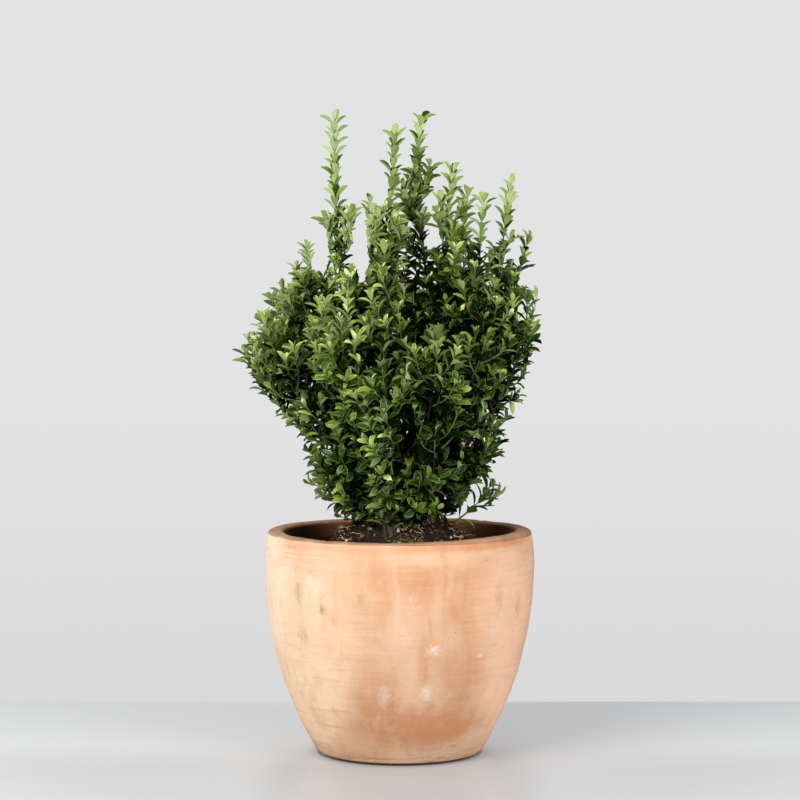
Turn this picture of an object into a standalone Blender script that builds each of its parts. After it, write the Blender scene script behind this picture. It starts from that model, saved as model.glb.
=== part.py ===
"""Potted Japanese euonymus: a small upright evergreen shrub in a thrown terracotta pot.

Metres, +Z up. The origin is the middle of the pot's flat underside, and the shrub's fuller,
taller side faces -Y. Five stems rise from the root ball, each carries a few boughs, and each
bough ends where it meets its own spire of foliage. A ring of short shoots hides the feet.
"""

import math
import random

import bmesh
import bpy
import numpy as np
from mathutils import Matrix, Vector

GAP = 0.0003  # between pieces that touch
CUT_BACK = 0.00042  # a bough's cut is this far off its stem's surface

# Pot: it swells from a narrow foot to its widest line a little under a thick lip.
POT_HEIGHT = 0.266
POT_FOOT_RADIUS = 0.097
POT_FOOT_CHAMFER = 0.002
POT_WIDEST_RADIUS = 0.161
POT_WIDEST_HEIGHT = 0.230
POT_SWELL_POWER = 2.17
POT_OUTER_RINGS = (0.025, 0.060, 0.100, 0.140, 0.180, 0.215, 0.245)  # heights
POT_INNER_RINGS = (0.228, 0.165, 0.095)
POT_LIP_RADIUS = 0.1575
POT_LIP_WIDTH = 0.0180
POT_LIP_DEPTH = 0.016  # the lip's inner edge runs this far down before the wall thins
POT_LIP_OUTER_ROUND = 0.0030
POT_LIP_INNER_ROUND = 0.0065
POT_WALL = 0.0150
POT_FLOOR = 0.0180
POT_FLOOR_ROUND = 0.016
POT_SIDES = 48

# Soil: the root ball stands proud in the middle and falls away to a lower ring of compost.
SOIL_CLEAR = 0.0005  # between the soil and the pot's wall
SOIL_PROFILE = (  # radius, height against the lip
    (0.054, 0.009),
    (0.066, 0.000),
    (0.079, -0.013),
    (0.091, -0.031),
    (0.104, -0.043),
)
SOIL_TOP = POT_HEIGHT + SOIL_PROFILE[0][1]
SOIL_EDGE_HEIGHT = POT_HEIGHT - 0.046

# Limbs
STEM_FOOT_RADIUS = 0.0050
STEM_TOP_RADIUS = 0.0036
STEM_FLARE = 0.75  # how much wider the foot is than the stem just above it
STEM_FLARE_HEIGHT = 0.007
STEM_FLARE_RINGS = (0.0, 0.004, 0.012)  # heights of the rings that shape the flare
STEM_LEAN = 0.42  # how far a stem's top leans outwards, for 1 upwards
STEM_SIDES = 9
STEM_RINGS = 9
BOUGH_RADIUS = 0.0027
BOUGH_END_RADIUS = 0.0019
BOUGH_SIDES = 5
BOUGH_RINGS = 4
OUTWARD_BEND = 0.30  # how far a bough starts out sideways
LIMB_CLEARANCE = 0.0016  # kept between a leaf and any limb

# Foliage: opposite pairs of leaves on a main twig and on a few side twigs.
GOLDEN_TURN = math.radians(137.5)  # from one side twig to the next
TWIG_SIDES = 3
TWIG_RADIUS = 0.0019
TWIG_TIP_RADIUS = 0.0009
MAIN_TWIG_RINGS = 7
SIDE_TWIG_RINGS = 3
FIRST_LEAVES = 0.009  # up the main twig
SIDE_TWIG_REACH = 0.095
SIDE_TWIG_STEP = 0.098  # a side twig for so much length of main twig
SIDE_TWIG_BAND = (0.05, 0.62)  # the share of the main twig that bears them
SIDE_TWIG_BARE = 0.45  # the share of a side twig below its first leaves
TIP_LEAF_REACH = 0.008  # the last leaves stand this far above the end of their twig

LEAF_LARGE, LEAF_SMALL = 0.062, 0.0275  # leaf length deep in the crown, and at a spire's tip
STEP_LARGE, STEP_SMALL = 0.047, 0.028  # from one pair of leaves to the next
LEAN_LARGE, LEAN_SMALL = 56.0, 30.0  # degrees between a leaf and its twig
LEAF_GROWTH = 0.45  # how fast leaves gain length, down from a tip
CROWN_DENSE_HEIGHT, CROWN_THIN_HEIGHT = 0.520, 0.670  # leaves shrink from the one to the other
LEAF_WIDEST = 0.54  # the share of a leaf's length where it is widest
LEAF_WIDTH_SHARE = 0.56
LEAF_THICKNESS = 0.0012
LEAF_FOLD = 0.30  # how far the two halves of a blade are folded up along the midrib

# Room: what each leaf and twig keeps clear of.
LEAF_SPACING = 0.16  # least distance between the outer parts of two leaves, by their length
LEAF_TRIES = (1.0, 0.8, 0.62)  # sizes tried where there is little room
LEAF_TURNS = (0, 24, -24, 48, -48)  # degrees round the twig
TWIG_TRIES = (1.0, 0.78, 0.6, 0.45)
TWIG_TURNS = (0, 45, -45, 90, -90, 135, -135, 180)
TWIG_ROOM = 0.004  # kept round a side twig
SOIL_ROOM = 0.003
SPACE_MARGIN = 0.0015  # kept from the border between two masses

# The heart of the crown is bare: this share of its outline, below this height.
BARE_SHARE = 0.36
BARE_TOP = 0.560

# The crown's outline: the furthest a leaf may stand from its middle line, by height.
CROWN_LEAN = -0.014  # how far the middle line moves along X over the crown's foot
CROWN_LEAN_HEIGHT = 0.2
CROWN_OUTLINE = (
    (0.275, 0.084),
    (0.300, 0.106),
    (0.375, 0.128),
    (0.400, 0.146),
    (0.480, 0.184),
    (0.620, 0.186),
    (0.700, 0.160),
    (0.780, 0.130),
)

# Each stem: foot (x, y) and top (x, y, z).
STEMS = {
    "stem_left": ((-0.018, -0.020), (-0.058, -0.026, 0.362)),
    "stem_front": ((0.016, -0.026), (0.016, -0.054, 0.356)),
    "stem_right": ((0.041, 0.000), (0.082, 0.000, 0.372)),
    "stem_back_left": ((-0.014, 0.020), (-0.034, 0.040, 0.384)),
    "stem_back_right": ((0.020, 0.026), (0.038, 0.052, 0.378)),
}

# Each spire: the stem that carries it, how far up that stem its bough leaves (1 is the top),
# how far along the whole limb its leaves begin, and where its last leaves reach (x, y, z).
SPIRES = {
    "left_low": ("stem_left", 0.44, 0.24, (-0.182, 0.010, 0.488)),
    "left_outer": ("stem_left", 0.62, 0.24, (-0.160, -0.052, 0.516)),
    "left_mid": ("stem_left", 1.00, 0.22, (-0.142, 0.030, 0.552)),
    "left_spire": ("stem_left", 0.80, 0.22, (-0.110, -0.010, 0.598)),
    "front_left": ("stem_left", 0.54, 0.22, (-0.068, -0.108, 0.512)),
    "front_centre": ("stem_front", 0.46, 0.24, (-0.020, -0.136, 0.462)),
    "front_high": ("stem_front", 1.00, 0.20, (-0.018, -0.074, 0.600)),
    "front_right": ("stem_front", 0.62, 0.18, (0.044, -0.124, 0.484)),
    "front_outer": ("stem_front", 0.80, 0.22, (0.102, -0.092, 0.500)),
    "right_low": ("stem_right", 0.50, 0.22, (0.164, -0.030, 0.546)),
    "right_lean": ("stem_right", 0.66, 0.20, (0.157, 0.036, 0.612)),
    "right_tall": ("stem_right", 1.00, 0.18, (0.134, 0.012, 0.676)),
    "right_inner": ("stem_right", 0.82, 0.18, (0.100, -0.034, 0.655)),
    "tall_left": ("stem_back_left", 0.66, 0.18, (-0.078, 0.012, 0.752)),
    "tall_middle": ("stem_back_left", 1.00, 0.17, (-0.006, -0.014, 0.732)),
    "middle_left": ("stem_back_left", 0.82, 0.18, (-0.034, -0.062, 0.652)),
    "back_left": ("stem_back_left", 0.50, 0.22, (-0.096, 0.098, 0.566)),
    "summit": ("stem_back_right", 1.00, 0.17, (0.027, 0.026, 0.756)),
    "tall_right": ("stem_back_right", 0.84, 0.18, (0.064, -0.018, 0.690)),
    "middle_right": ("stem_back_right", 0.68, 0.18, (0.082, 0.040, 0.664)),
    "back_middle": ("stem_back_right", 0.54, 0.22, (-0.006, 0.128, 0.602)),
    "back_right": ("stem_back_right", 0.46, 0.22, (0.092, 0.112, 0.560)),
}

# Skirt: short leafy shoots from low on the stems, spread evenly round the foot of the shrub,
# by turns low and high. Each kind: how far out and how high it reaches, and how far up its stem
# it leaves.
SKIRT_COUNT = 9
SKIRT_FIRST_TURN = 14.0  # degrees, from +X towards +Y
SKIRT_KINDS = ((0.092, 0.345, 0.20), (0.120, 0.425, 0.34))
SKIRT_NUDGES = (0, 7, -7, 14, -14, 21, -21)  # degrees, tried where a limb is in the way
SKIRT_RINGS = 5

UP = Vector((0.0, 0.0, 1.0))


# ---- plain helpers ----


def material(name, colour, roughness):
    made = bpy.data.materials.new(name)
    made.use_nodes = True
    surface = made.node_tree.nodes["Principled BSDF"]
    surface.inputs["Base Color"].default_value = (*colour, 1.0)
    surface.inputs["Roughness"].default_value = roughness
    surface.inputs["Metallic"].default_value = 0.0
    return made


def blend(low, high, share):
    return low + (high - low) * share


def new_object(name, bm, made_of, at=(0.0, 0.0, 0.0), smooth=None):
    """An object from a bmesh built in world space, with its own origin put at `at`."""
    bm.transform(Matrix.Translation(-Vector(at)))
    mesh = bpy.data.meshes.new(name)
    bm.to_mesh(mesh)
    bm.free()
    mesh.materials.append(made_of)
    if smooth is not None:
        mesh.shade_smooth()
        mesh.set_sharp_from_angle(angle=math.radians(smooth))
    made = bpy.data.objects.new(name, mesh)
    made.location = at
    made.parent = bpy.data.objects["shrub_in_pot"]
    bpy.context.scene.collection.objects.link(made)
    return made


def bezier(a, b, c, d, count):
    """Points along a cubic curve from a to d that leaves towards b and arrives from c."""
    share = np.linspace(0.0, 1.0, count)[:, None]
    rest = 1.0 - share
    a, b, c, d = (np.array(point, float) for point in (a, b, c, d))
    return rest**3 * a + 3 * rest**2 * share * b + 3 * rest * share**2 * c + share**3 * d


class Limb:
    """A stem, bough or twig: points along its middle line, and its radius at each."""

    def __init__(self, points, radii, start_heading=None):
        self.points = points
        self.radii = radii
        self.start_heading = start_heading
        steps = np.linalg.norm(np.diff(points, axis=0), axis=1)
        self.length_at = np.concatenate([[0.0], np.cumsum(steps)])
        self.length = float(self.length_at[-1])
        across = Vector(points[-1] - points[0]).cross(UP)
        self.side = across.normalized() if across.length > 0.004 else Vector((1.0, 0.0, 0.0))

    def at(self, length):
        return Vector([np.interp(length, self.length_at, self.points[:, i]) for i in range(3)])

    def radius(self, length):
        return float(np.interp(length, self.length_at, self.radii))

    def heading(self, length, reach=0.002):
        return (self.at(length + reach) - self.at(length - reach)).normalized()

    def section(self, start, end, count):
        lengths = np.linspace(start, end, count)
        points = np.array([self.at(length) for length in lengths])
        return Limb(points, np.array([self.radius(length) for length in lengths]))


def frame_of(heading, side):
    """Two directions across a limb, square to its heading."""
    u = (side - heading * side.dot(heading)).normalized()
    return u, heading.cross(u)


def tube(limb, sides, grow=0.0):
    """A closed tube along a limb, with flat ends; `grow` is added to its radius."""
    bm = bmesh.new()
    rings = []
    for i, length in enumerate(limb.length_at):
        heading = limb.start_heading if i == 0 and limb.start_heading else limb.heading(length)
        u, v = frame_of(heading, limb.side)
        centre = Vector(limb.points[i])
        radius = limb.radii[i] + grow
        ring = []
        for k in range(sides):
            turn = 2.0 * math.pi * k / sides
            ring.append(bm.verts.new(centre + (u * math.cos(turn) + v * math.sin(turn)) * radius))
        rings.append(ring)
    for low, high in zip(rings, rings[1:]):
        for k in range(sides):
            n = (k + 1) % sides
            bm.faces.new((low[k], low[n], high[n], high[k]))
    bm.faces.new(tuple(reversed(rings[0])))
    bm.faces.new(tuple(rings[-1]))
    return bm


def join(target, others, operation):
    """One Boolean with a collection, applied; its objects are then removed."""
    group = bpy.data.collections.new(target.name + "_others")
    bpy.context.scene.collection.children.link(group)
    for other in others:
        bpy.context.scene.collection.objects.unlink(other)
        group.objects.link(other)
    boolean = target.modifiers.new("fuse", "BOOLEAN")
    boolean.operation = operation
    boolean.operand_type = "COLLECTION"
    boolean.collection = group
    boolean.solver = "EXACT"
    bpy.context.view_layer.update()
    evaluated = target.evaluated_get(bpy.context.evaluated_depsgraph_get())
    fused = bpy.data.meshes.new_from_object(evaluated)
    target.modifiers.clear()
    target.data = fused
    for other in others:
        bpy.data.objects.remove(other)
    bpy.data.collections.remove(group)
    keep_main_body(target)


def keep_main_body(target):
    """Keeps the largest connected surface: scraps go, and a sealed hollow is filled."""
    bm = bmesh.new()
    bm.from_mesh(target.data)
    bmesh.ops.remove_doubles(bm, verts=bm.verts, dist=1e-7)
    unseen = set(bm.faces)
    bodies = []
    while unseen:
        body = {unseen.pop()}
        border = list(body)
        while border:
            for edge in border.pop().edges:
                fresh = [face for face in edge.link_faces if face not in body]
                body.update(fresh)
                border += fresh
        unseen -= body
        bodies.append(body)
    main = max(bodies, key=lambda body: sum(face.calc_area() for face in body))
    bmesh.ops.delete(bm, geom=[face for face in bm.faces if face not in main], context="FACES")
    bm.to_mesh(target.data)
    bm.free()


# ---- pot and soil ----


def pot_radius(height):
    """Outer radius of the pot at a height above its foot."""
    if height < POT_WIDEST_HEIGHT:
        below = (POT_WIDEST_HEIGHT - height) / POT_WIDEST_HEIGHT
        return POT_WIDEST_RADIUS - (POT_WIDEST_RADIUS - POT_FOOT_RADIUS) * below**POT_SWELL_POWER
    above = (height - POT_WIDEST_HEIGHT) / (POT_HEIGHT - POT_WIDEST_HEIGHT)
    return POT_WIDEST_RADIUS - (POT_WIDEST_RADIUS - POT_LIP_RADIUS) * above**2


def rounded_corner(centre_r, centre_z, radius, from_turn, to_turn, steps):
    turns = [math.radians(blend(from_turn, to_turn, i / steps)) for i in range(steps + 1)]
    return [(centre_r + radius * math.cos(t), centre_z + radius * math.sin(t)) for t in turns]


def pot_inside():
    """The inner wall from under the lip down to the edge of the floor: (radius, height)."""
    corner = POT_FLOOR + POT_FLOOR_ROUND
    wall = [(POT_LIP_RADIUS - POT_LIP_WIDTH, POT_HEIGHT - POT_LIP_DEPTH)]
    wall += [(pot_radius(z) - POT_WALL, z) for z in POT_INNER_RINGS]
    wall.append((pot_radius(corner) - POT_WALL - 0.2 * POT_FLOOR_ROUND, corner))
    wall.append((pot_radius(POT_FLOOR) - POT_WALL - 0.9 * POT_FLOOR_ROUND, POT_FLOOR))
    return wall


def turned(name, profile, made_of, smooth):
    """A solid of revolution about Z from a profile that starts and ends on the axis."""
    bm = bmesh.new()
    verts = [bm.verts.new((r, 0.0, z)) for r, z in profile]
    edges = [bm.edges.new(pair) for pair in zip(verts, verts[1:])]
    bmesh.ops.spin(
        bm, geom=verts + edges, cent=(0, 0, 0), axis=UP, angle=2 * math.pi, steps=POT_SIDES
    )
    bmesh.ops.remove_doubles(bm, verts=bm.verts, dist=1e-6)
    bmesh.ops.recalc_face_normals(bm, faces=bm.faces)
    return new_object(name, bm, made_of, smooth=smooth)


def make_pot():
    outside = [(0.0, 0.0), (POT_FOOT_RADIUS - POT_FOOT_CHAMFER, 0.0)]
    outside += [(pot_radius(z), z) for z in (POT_FOOT_CHAMFER, *POT_OUTER_RINGS)]
    lip_inside = POT_LIP_RADIUS - POT_LIP_WIDTH
    outer, inner = POT_LIP_OUTER_ROUND, POT_LIP_INNER_ROUND
    lip = rounded_corner(POT_LIP_RADIUS - outer, POT_HEIGHT - outer, outer, 0, 90, 2)
    lip += rounded_corner(lip_inside + inner, POT_HEIGHT - inner, inner, 90, 180, 3)
    profile = outside + lip + pot_inside() + [(0.0, POT_FLOOR)]
    turned("pot", profile, material("terracotta", (0.76, 0.47, 0.29), 0.85), 40)


def make_soil():
    """The root ball and compost fill the pot, a hair clear of its wall and floor."""
    inside = pot_inside()
    wall_heights = [z for _, z in inside][::-1]
    wall_radii = [r for r, _ in inside][::-1]
    edge_radius = float(np.interp(SOIL_EDGE_HEIGHT, wall_heights, wall_radii))
    profile = [(0.0, SOIL_TOP)] + [(r, POT_HEIGHT + z) for r, z in SOIL_PROFILE]
    profile.append((edge_radius - SOIL_CLEAR, SOIL_EDGE_HEIGHT))
    profile += [(r - SOIL_CLEAR, z) for r, z in inside if POT_FLOOR < z < SOIL_EDGE_HEIGHT]
    profile.append((wall_radii[0] - SOIL_CLEAR, POT_FLOOR + GAP))
    profile.append((0.0, POT_FLOOR + GAP))
    turned("soil", profile, material("compost", (0.060, 0.038, 0.024), 0.95), 35)


# ---- limbs ----


def stem_limb(foot, top):
    """A stem rises straight out of the soil, flared at its foot, and leans out at its top."""
    base = Vector((*foot, SOIL_TOP + GAP))
    top = Vector(top)
    reach = (top - base).length
    outward = Vector((top.x, top.y, 0.0)).normalized()
    finish = (outward * STEM_LEAN + UP).normalized()
    points = bezier(base, base + UP * reach * 0.3, top - finish * reach * 0.35, top, 41)
    along = np.linspace(0.0, 1.0, len(points))
    flare = 1.0 + STEM_FLARE * np.exp(-along * reach / STEM_FLARE_HEIGHT)
    curve = Limb(points, blend(STEM_FOOT_RADIUS, STEM_TOP_RADIUS, along) * flare)
    upper = np.linspace(STEM_FLARE_RINGS[-1], curve.length, STEM_RINGS - 2)
    rings = np.concatenate([STEM_FLARE_RINGS[:-1], upper])
    points = np.array([curve.at(length) for length in rings])
    return Limb(points, np.array([curve.radius(length) for length in rings]), UP)


def spire_limb(stem, leaves_at, tip):
    """The whole limb from its stem out to the spire's tip: outwards first, then upright."""
    start = stem.at(stem.length * leaves_at)
    tip = Vector(tip) - UP * TIP_LEAF_REACH
    reach = (tip - start).length
    towards = (tip - start).normalized()
    heading = stem.heading(stem.length * min(leaves_at, 0.96))
    if leaves_at < 1.0:
        outward = Vector((tip.x - start.x, tip.y - start.y, 0.0))
        outward /= max(outward.length, 0.02)
        heading = (heading * 0.25 + towards * 0.9 + outward * OUTWARD_BEND).normalized()
    upright = (UP + towards * 0.8).normalized()
    points = bezier(start, start + heading * reach * 0.30, tip - upright * reach * 0.38, tip, 121)
    return Limb(points, np.full(len(points), BOUGH_RADIUS))


def stretch(limb, start, end, radius_start, radius_end, count):
    """A stretch of a limb that tapers from one radius to another."""
    part = limb.section(start, end, count)
    part.radii = blend(radius_start, radius_end, np.linspace(0.0, 1.0, count))
    part.side = limb.side
    return part


def make_stem(name, foot, top, bark):
    stem = stem_limb(foot, top)
    new_object(name, tube(stem, STEM_SIDES), bark, at=stem.points[0], smooth=60)
    return stem


def make_bough(name, limb, stem, earlier, bark):
    """A bough is cut back from its stem and from the boughs that left that stem before it."""
    made = new_object(name, tube(limb, BOUGH_SIDES), bark, at=limb.points[0], smooth=60)
    if limb.start_heading:  # it carries on from the stem's top, so nothing is cut
        cutters = []
    else:
        cutters = [new_object("cut_stem", tube(stem, STEM_SIDES, CUT_BACK), bark)]
    for other in earlier:
        cutters.append(new_object("cut_bough", tube(other, BOUGH_SIDES, CUT_BACK), bark))
    if cutters:
        join(made, cutters, "DIFFERENCE")


def skirt_shoot(number, stems, crown):
    """A short shoot low on the nearest stem, turned a little if another limb is in its way."""
    out, height, leaves_at = SKIRT_KINDS[number % 2]
    for nudge in SKIRT_NUDGES:
        turn = math.radians(SKIRT_FIRST_TURN + 360.0 / SKIRT_COUNT * number + nudge)
        outward = Vector((math.cos(turn), math.sin(turn), 0.0))
        stem = max(stems.values(), key=lambda one: Vector(one.points[-1]).xy.dot(outward.xy))
        along = stem.length * leaves_at
        heading = stem.heading(along)
        square = (outward - heading * outward.dot(heading)).normalized()
        start = stem.at(along) + square * (stem.radius(along) + GAP)
        tip = outward * out + UP * height
        reach = (tip - start).length
        leave = (square + heading * 0.25).normalized()
        rise = (outward * 0.7 + UP * 0.8).normalized()
        points = bezier(
            start, start + leave * reach * 0.35, tip - rise * reach * 0.35, tip, SKIRT_RINGS
        )
        shoot = Limb(points, np.linspace(TWIG_RADIUS, TWIG_TIP_RADIUS, SKIRT_RINGS), square)
        past_stem = shoot.section(0.006, shoot.length, 30)
        if crown.clear_of_limbs(past_stem.points, TWIG_RADIUS):
            break
    return shoot


# ---- foliage ----


class Crown:
    """What a leaf keeps clear of: every limb, the space of every other mass, and thin air."""

    def __init__(self):
        self.limb_points = np.empty((0, 3))
        self.limb_radii = np.empty(0)
        self.axis_points = np.empty((0, 3))
        self.axis_owner = np.empty(0, dtype=object)
        self.leaf_points = np.empty((0, 3))

    def add_limb(self, limb):
        fine = limb.section(0.0, limb.length, max(2, int(limb.length / 0.003)))
        self.limb_points = np.vstack([self.limb_points, fine.points])
        self.limb_radii = np.concatenate([self.limb_radii, fine.radii])

    def add_axis(self, name, limb):
        fine = limb.section(0.0, limb.length, max(3, int(limb.length / 0.004)))
        self.axis_points = np.vstack([self.axis_points, fine.points])
        self.axis_owner = np.concatenate([self.axis_owner, np.full(len(fine.points), name)])

    def clear_of_limbs(self, points, reach):
        to_limbs = np.linalg.norm(points[:, None] - self.limb_points[None], axis=2)
        return (to_limbs - self.limb_radii).min() > LIMB_CLEARANCE + reach

    def crowded(self, points, length):
        if not len(self.leaf_points):
            return False
        to_leaves = np.linalg.norm(points[:, None] - self.leaf_points[None], axis=2)
        return to_leaves.min() < LEAF_SPACING * length

    def free(self, name, points, reach=0.0):
        """Whether these points stay in the mass's own space and clear of every limb."""
        heights, radii = np.array(CROWN_OUTLINE).T
        lean = np.clip((points[:, 2] - SOIL_TOP) / CROWN_LEAN_HEIGHT, 0.0, 1.0) * CROWN_LEAN
        from_middle = np.hypot(points[:, 0] - lean, points[:, 1])
        outline = np.interp(points[:, 2], heights, radii)
        in_heart = (from_middle < outline * BARE_SHARE) & (points[:, 2] < BARE_TOP)
        if (from_middle > outline).any() or in_heart.all():
            return False
        if points[:, 2].min() < SOIL_TOP + SOIL_ROOM or not self.clear_of_limbs(points, reach):
            return False
        to_axes = np.linalg.norm(points[:, None] - self.axis_points[None], axis=2)
        own = self.axis_owner == name
        slack = 2 * (SPACE_MARGIN + reach)
        return bool((to_axes[:, ~own].min(axis=1) > to_axes[:, own].min(axis=1) + slack).all())


def leaf_corners(root, direction, up, length):
    """Root, right, tip, left and middle of a folded leaf whose underside is a straight keel."""
    side = direction.cross(up).normalized()
    half = length * LEAF_WIDTH_SHARE * 0.5
    middle = root + direction * length * LEAF_WIDEST
    raised = middle + up * half * LEAF_FOLD
    tip = root + direction * length
    return root, raised + side * half, tip, raised - side * half, middle + up * LEAF_THICKNESS


def leaf_samples(corners):
    """Points spread over a leaf's outer part, and points over the part nearer its root."""
    root, right, tip, left, top = corners
    outer = [right, tip, left, top, (right + tip) / 2, (left + tip) / 2, (top + tip) / 2]
    outer += [(right + top) / 2, (left + top) / 2]
    inner = [root.lerp(right, 0.6), root.lerp(left, 0.6), root.lerp(top, 0.3), root.lerp(top, 0.65)]
    return np.array(outer), np.array(inner)


def leaf_object(name, corners, made_of):
    bm = bmesh.new()
    root, right, tip, left, top = (bm.verts.new(corner) for corner in corners)
    for face in ((root, right, top), (right, tip, top), (tip, left, top), (left, root, top)):
        bm.faces.new(face)
    bm.faces.new((right, root, tip))
    bm.faces.new((left, tip, root))
    return new_object(name, bm, made_of)


def leafiness(height, to_tip):
    """0 for the small close leaves of a spire's tip, 1 for the large ones deep in the crown."""
    thinning = (CROWN_THIN_HEIGHT - height) / (CROWN_THIN_HEIGHT - CROWN_DENSE_HEIGHT)
    growth = to_tip * LEAF_GROWTH / (LEAF_LARGE - LEAF_SMALL)
    return max(0.0, min(1.0, thinning, growth))


def fitted_leaf(crown, name, root, heading, across, around, lean, size):
    """The largest leaf that has room here, turned a little round the twig if need be."""
    u, v = across
    for shrink in LEAF_TRIES:
        for nudge in LEAF_TURNS:
            turn = math.radians(around + nudge)
            outward = u * math.cos(turn) + v * math.sin(turn)
            direction = heading * math.cos(lean) + outward * math.sin(lean)
            up = heading * math.sin(lean) - outward * math.cos(lean)
            corners = leaf_corners(root, direction, up, size * shrink)
            outer, inner = leaf_samples(corners)
            if crown.crowded(outer, size) or not crown.free(name, np.vstack([outer, inner])):
                continue
            crown.leaf_points = np.vstack([crown.leaf_points, outer])
            return [corners]
    return []


def leaves_along(crown, name, twig, rng, first, turn):
    """Opposite pairs of leaves up a twig, each pair a quarter turn from the one below."""
    found = []
    length = first
    while length < twig.length + 0.001:
        root = twig.at(min(length, twig.length - 0.0015))
        large = leafiness(root.z, twig.length - length)
        heading = twig.heading(min(length, twig.length - 0.003))
        across = frame_of(heading, twig.side)
        for half in (0.0, 180.0):
            around = turn + half + rng.uniform(-14, 14)
            lean = math.radians(blend(LEAN_SMALL, LEAN_LARGE, large) + rng.uniform(-8, 8))
            size = blend(LEAF_SMALL, LEAF_LARGE, large) * rng.uniform(0.9, 1.10)
            found += fitted_leaf(crown, name, root, heading, across, around, lean, size)
        turn += 90.0
        length = next_pair(length, twig.length, large, rng)
    return found


def next_pair(length, last, large, rng):
    """Where the next pair sits; the steps near the end are fitted so that one is at the tip."""
    step = blend(STEP_SMALL, STEP_LARGE, large) * rng.uniform(0.92, 1.08)
    left = last - length
    if step < left < step * 1.6:
        step = left * 0.5
    return last if 0.008 < left < step * 1.05 else length + step


def side_twig(axis, length_along, reach, around):
    """A short twig that leaves the main one at an angle and turns up to run beside it."""
    heading = axis.heading(length_along)
    u, v = frame_of(heading, axis.side)
    outward = u * math.cos(around) + v * math.sin(around)
    start = axis.at(length_along)
    leave = (heading * 0.75 + outward).normalized()
    finish = (heading + outward * 0.35 + UP * 0.4).normalized()
    end = start + outward * reach * 0.50 + heading * reach * 0.80
    count = SIDE_TWIG_RINGS
    points = bezier(start, start + leave * reach * 0.4, end - finish * reach * 0.35, end, count)
    return Limb(points, np.linspace(TWIG_RADIUS * 0.8, TWIG_TIP_RADIUS, count))


def fitted_twig(crown, name, axis, along, around, reach):
    """The longest side twig that has room here, in the first direction that offers it."""
    for shrink in TWIG_TRIES:
        for nudge in TWIG_TURNS:
            twig = side_twig(axis, along, reach * shrink, around + math.radians(nudge))
            if crown.free(name, twig.points[1:], TWIG_ROOM):
                return twig
    return None


def side_twigs(crown, name, axis, rng):
    count = max(1, round(axis.length / SIDE_TWIG_STEP))
    found = []
    for k in range(count):
        along = axis.length * blend(*SIDE_TWIG_BAND, k / count)
        around = k * GOLDEN_TURN + rng.uniform(0, 1)
        large = leafiness(axis.at(along).z, 1.0)
        reach = min(SIDE_TWIG_REACH * blend(0.5, 1.0, large), axis.length * 0.5)
        twig = fitted_twig(crown, name, axis, along, around, reach)
        if twig:
            found.append(twig)
    return found


def make_mass(name, axis, crown, seed, made_of):
    """One mass: its main twig, side twigs and leaves, fused to one body in its own space."""
    rng = random.Random(seed)
    crown.leaf_points = np.empty((0, 3))
    leaves = leaves_along(crown, name, axis, rng, FIRST_LEAVES, rng.uniform(0, 90))
    twigs = side_twigs(crown, name, axis, rng)
    for twig in twigs:
        leaves += leaves_along(crown, name, twig, rng, twig.length * SIDE_TWIG_BARE, 0.0)
    mass = new_object(name, tube(axis, TWIG_SIDES), made_of, at=axis.points[0])
    pieces = [new_object(f"{name}_twig", tube(twig, TWIG_SIDES), made_of) for twig in twigs]
    pieces += [leaf_object(f"{name}_leaf", corners, made_of) for corners in leaves]
    join(mass, pieces, "UNION")
    return len(leaves)


# ---- the whole shrub ----


def make_spire(stem, leaves_at, foliage_at, tip, name, earlier, bark):
    """A spire's bough, made at once, and the main twig of its mass."""
    whole = spire_limb(stem, leaves_at, tip)
    cut = whole.length * foliage_at
    if leaves_at == 1.0:
        bough = stretch(whole, GAP, cut, stem.radii[-1] * 0.96, BOUGH_END_RADIUS, BOUGH_RINGS)
        bough.start_heading = stem.heading(stem.length)
    else:
        thick = min(BOUGH_RADIUS, stem.radius(stem.length * leaves_at) * 0.8)
        bough = stretch(whole, 0.0, cut, thick, BOUGH_END_RADIUS, BOUGH_RINGS)
    make_bough("bough_" + name, bough, stem, earlier, bark)
    twig = stretch(
        whole, cut + GAP, whole.length, TWIG_RADIUS, TWIG_TIP_RADIUS, MAIN_TWIG_RINGS
    )
    return bough, twig


def main():
    for old in list(bpy.data.objects):
        bpy.data.objects.remove(old)
    root = bpy.data.objects.new("shrub_in_pot", None)
    bpy.context.scene.collection.objects.link(root)
    bark = material("bark", (0.25, 0.17, 0.11), 0.85)
    leaf = material("leaf", (0.10, 0.20, 0.045), 0.45)

    make_pot()
    make_soil()
    stems = {name: make_stem(name, *ends, bark) for name, ends in STEMS.items()}
    crown = Crown()
    for stem in stems.values():
        crown.add_limb(stem)

    axes = {}
    boughs = {name: [] for name in stems}
    for name, (stem_name, leaves_at, foliage_at, tip) in SPIRES.items():
        earlier = boughs[stem_name]
        stem = stems[stem_name]
        bough, twig = make_spire(stem, leaves_at, foliage_at, tip, name, earlier, bark)
        earlier.append(bough)
        crown.add_limb(bough)
        axes["foliage_" + name] = twig
    for number in range(SKIRT_COUNT):
        axes[f"foliage_skirt_{number + 1}"] = skirt_shoot(number, stems, crown)

    for name, axis in axes.items():
        crown.add_axis(name, axis)
    leaves = sum(
        make_mass(name, axis, crown, seed, leaf) for seed, (name, axis) in enumerate(axes.items())
    )
    print(f"{len(stems)} stems, {len(SPIRES)} boughs, {len(axes)} masses, {leaves} leaves")


main()
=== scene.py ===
import math

import bpy
import numpy as np
from mathutils import Matrix, Vector


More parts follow.
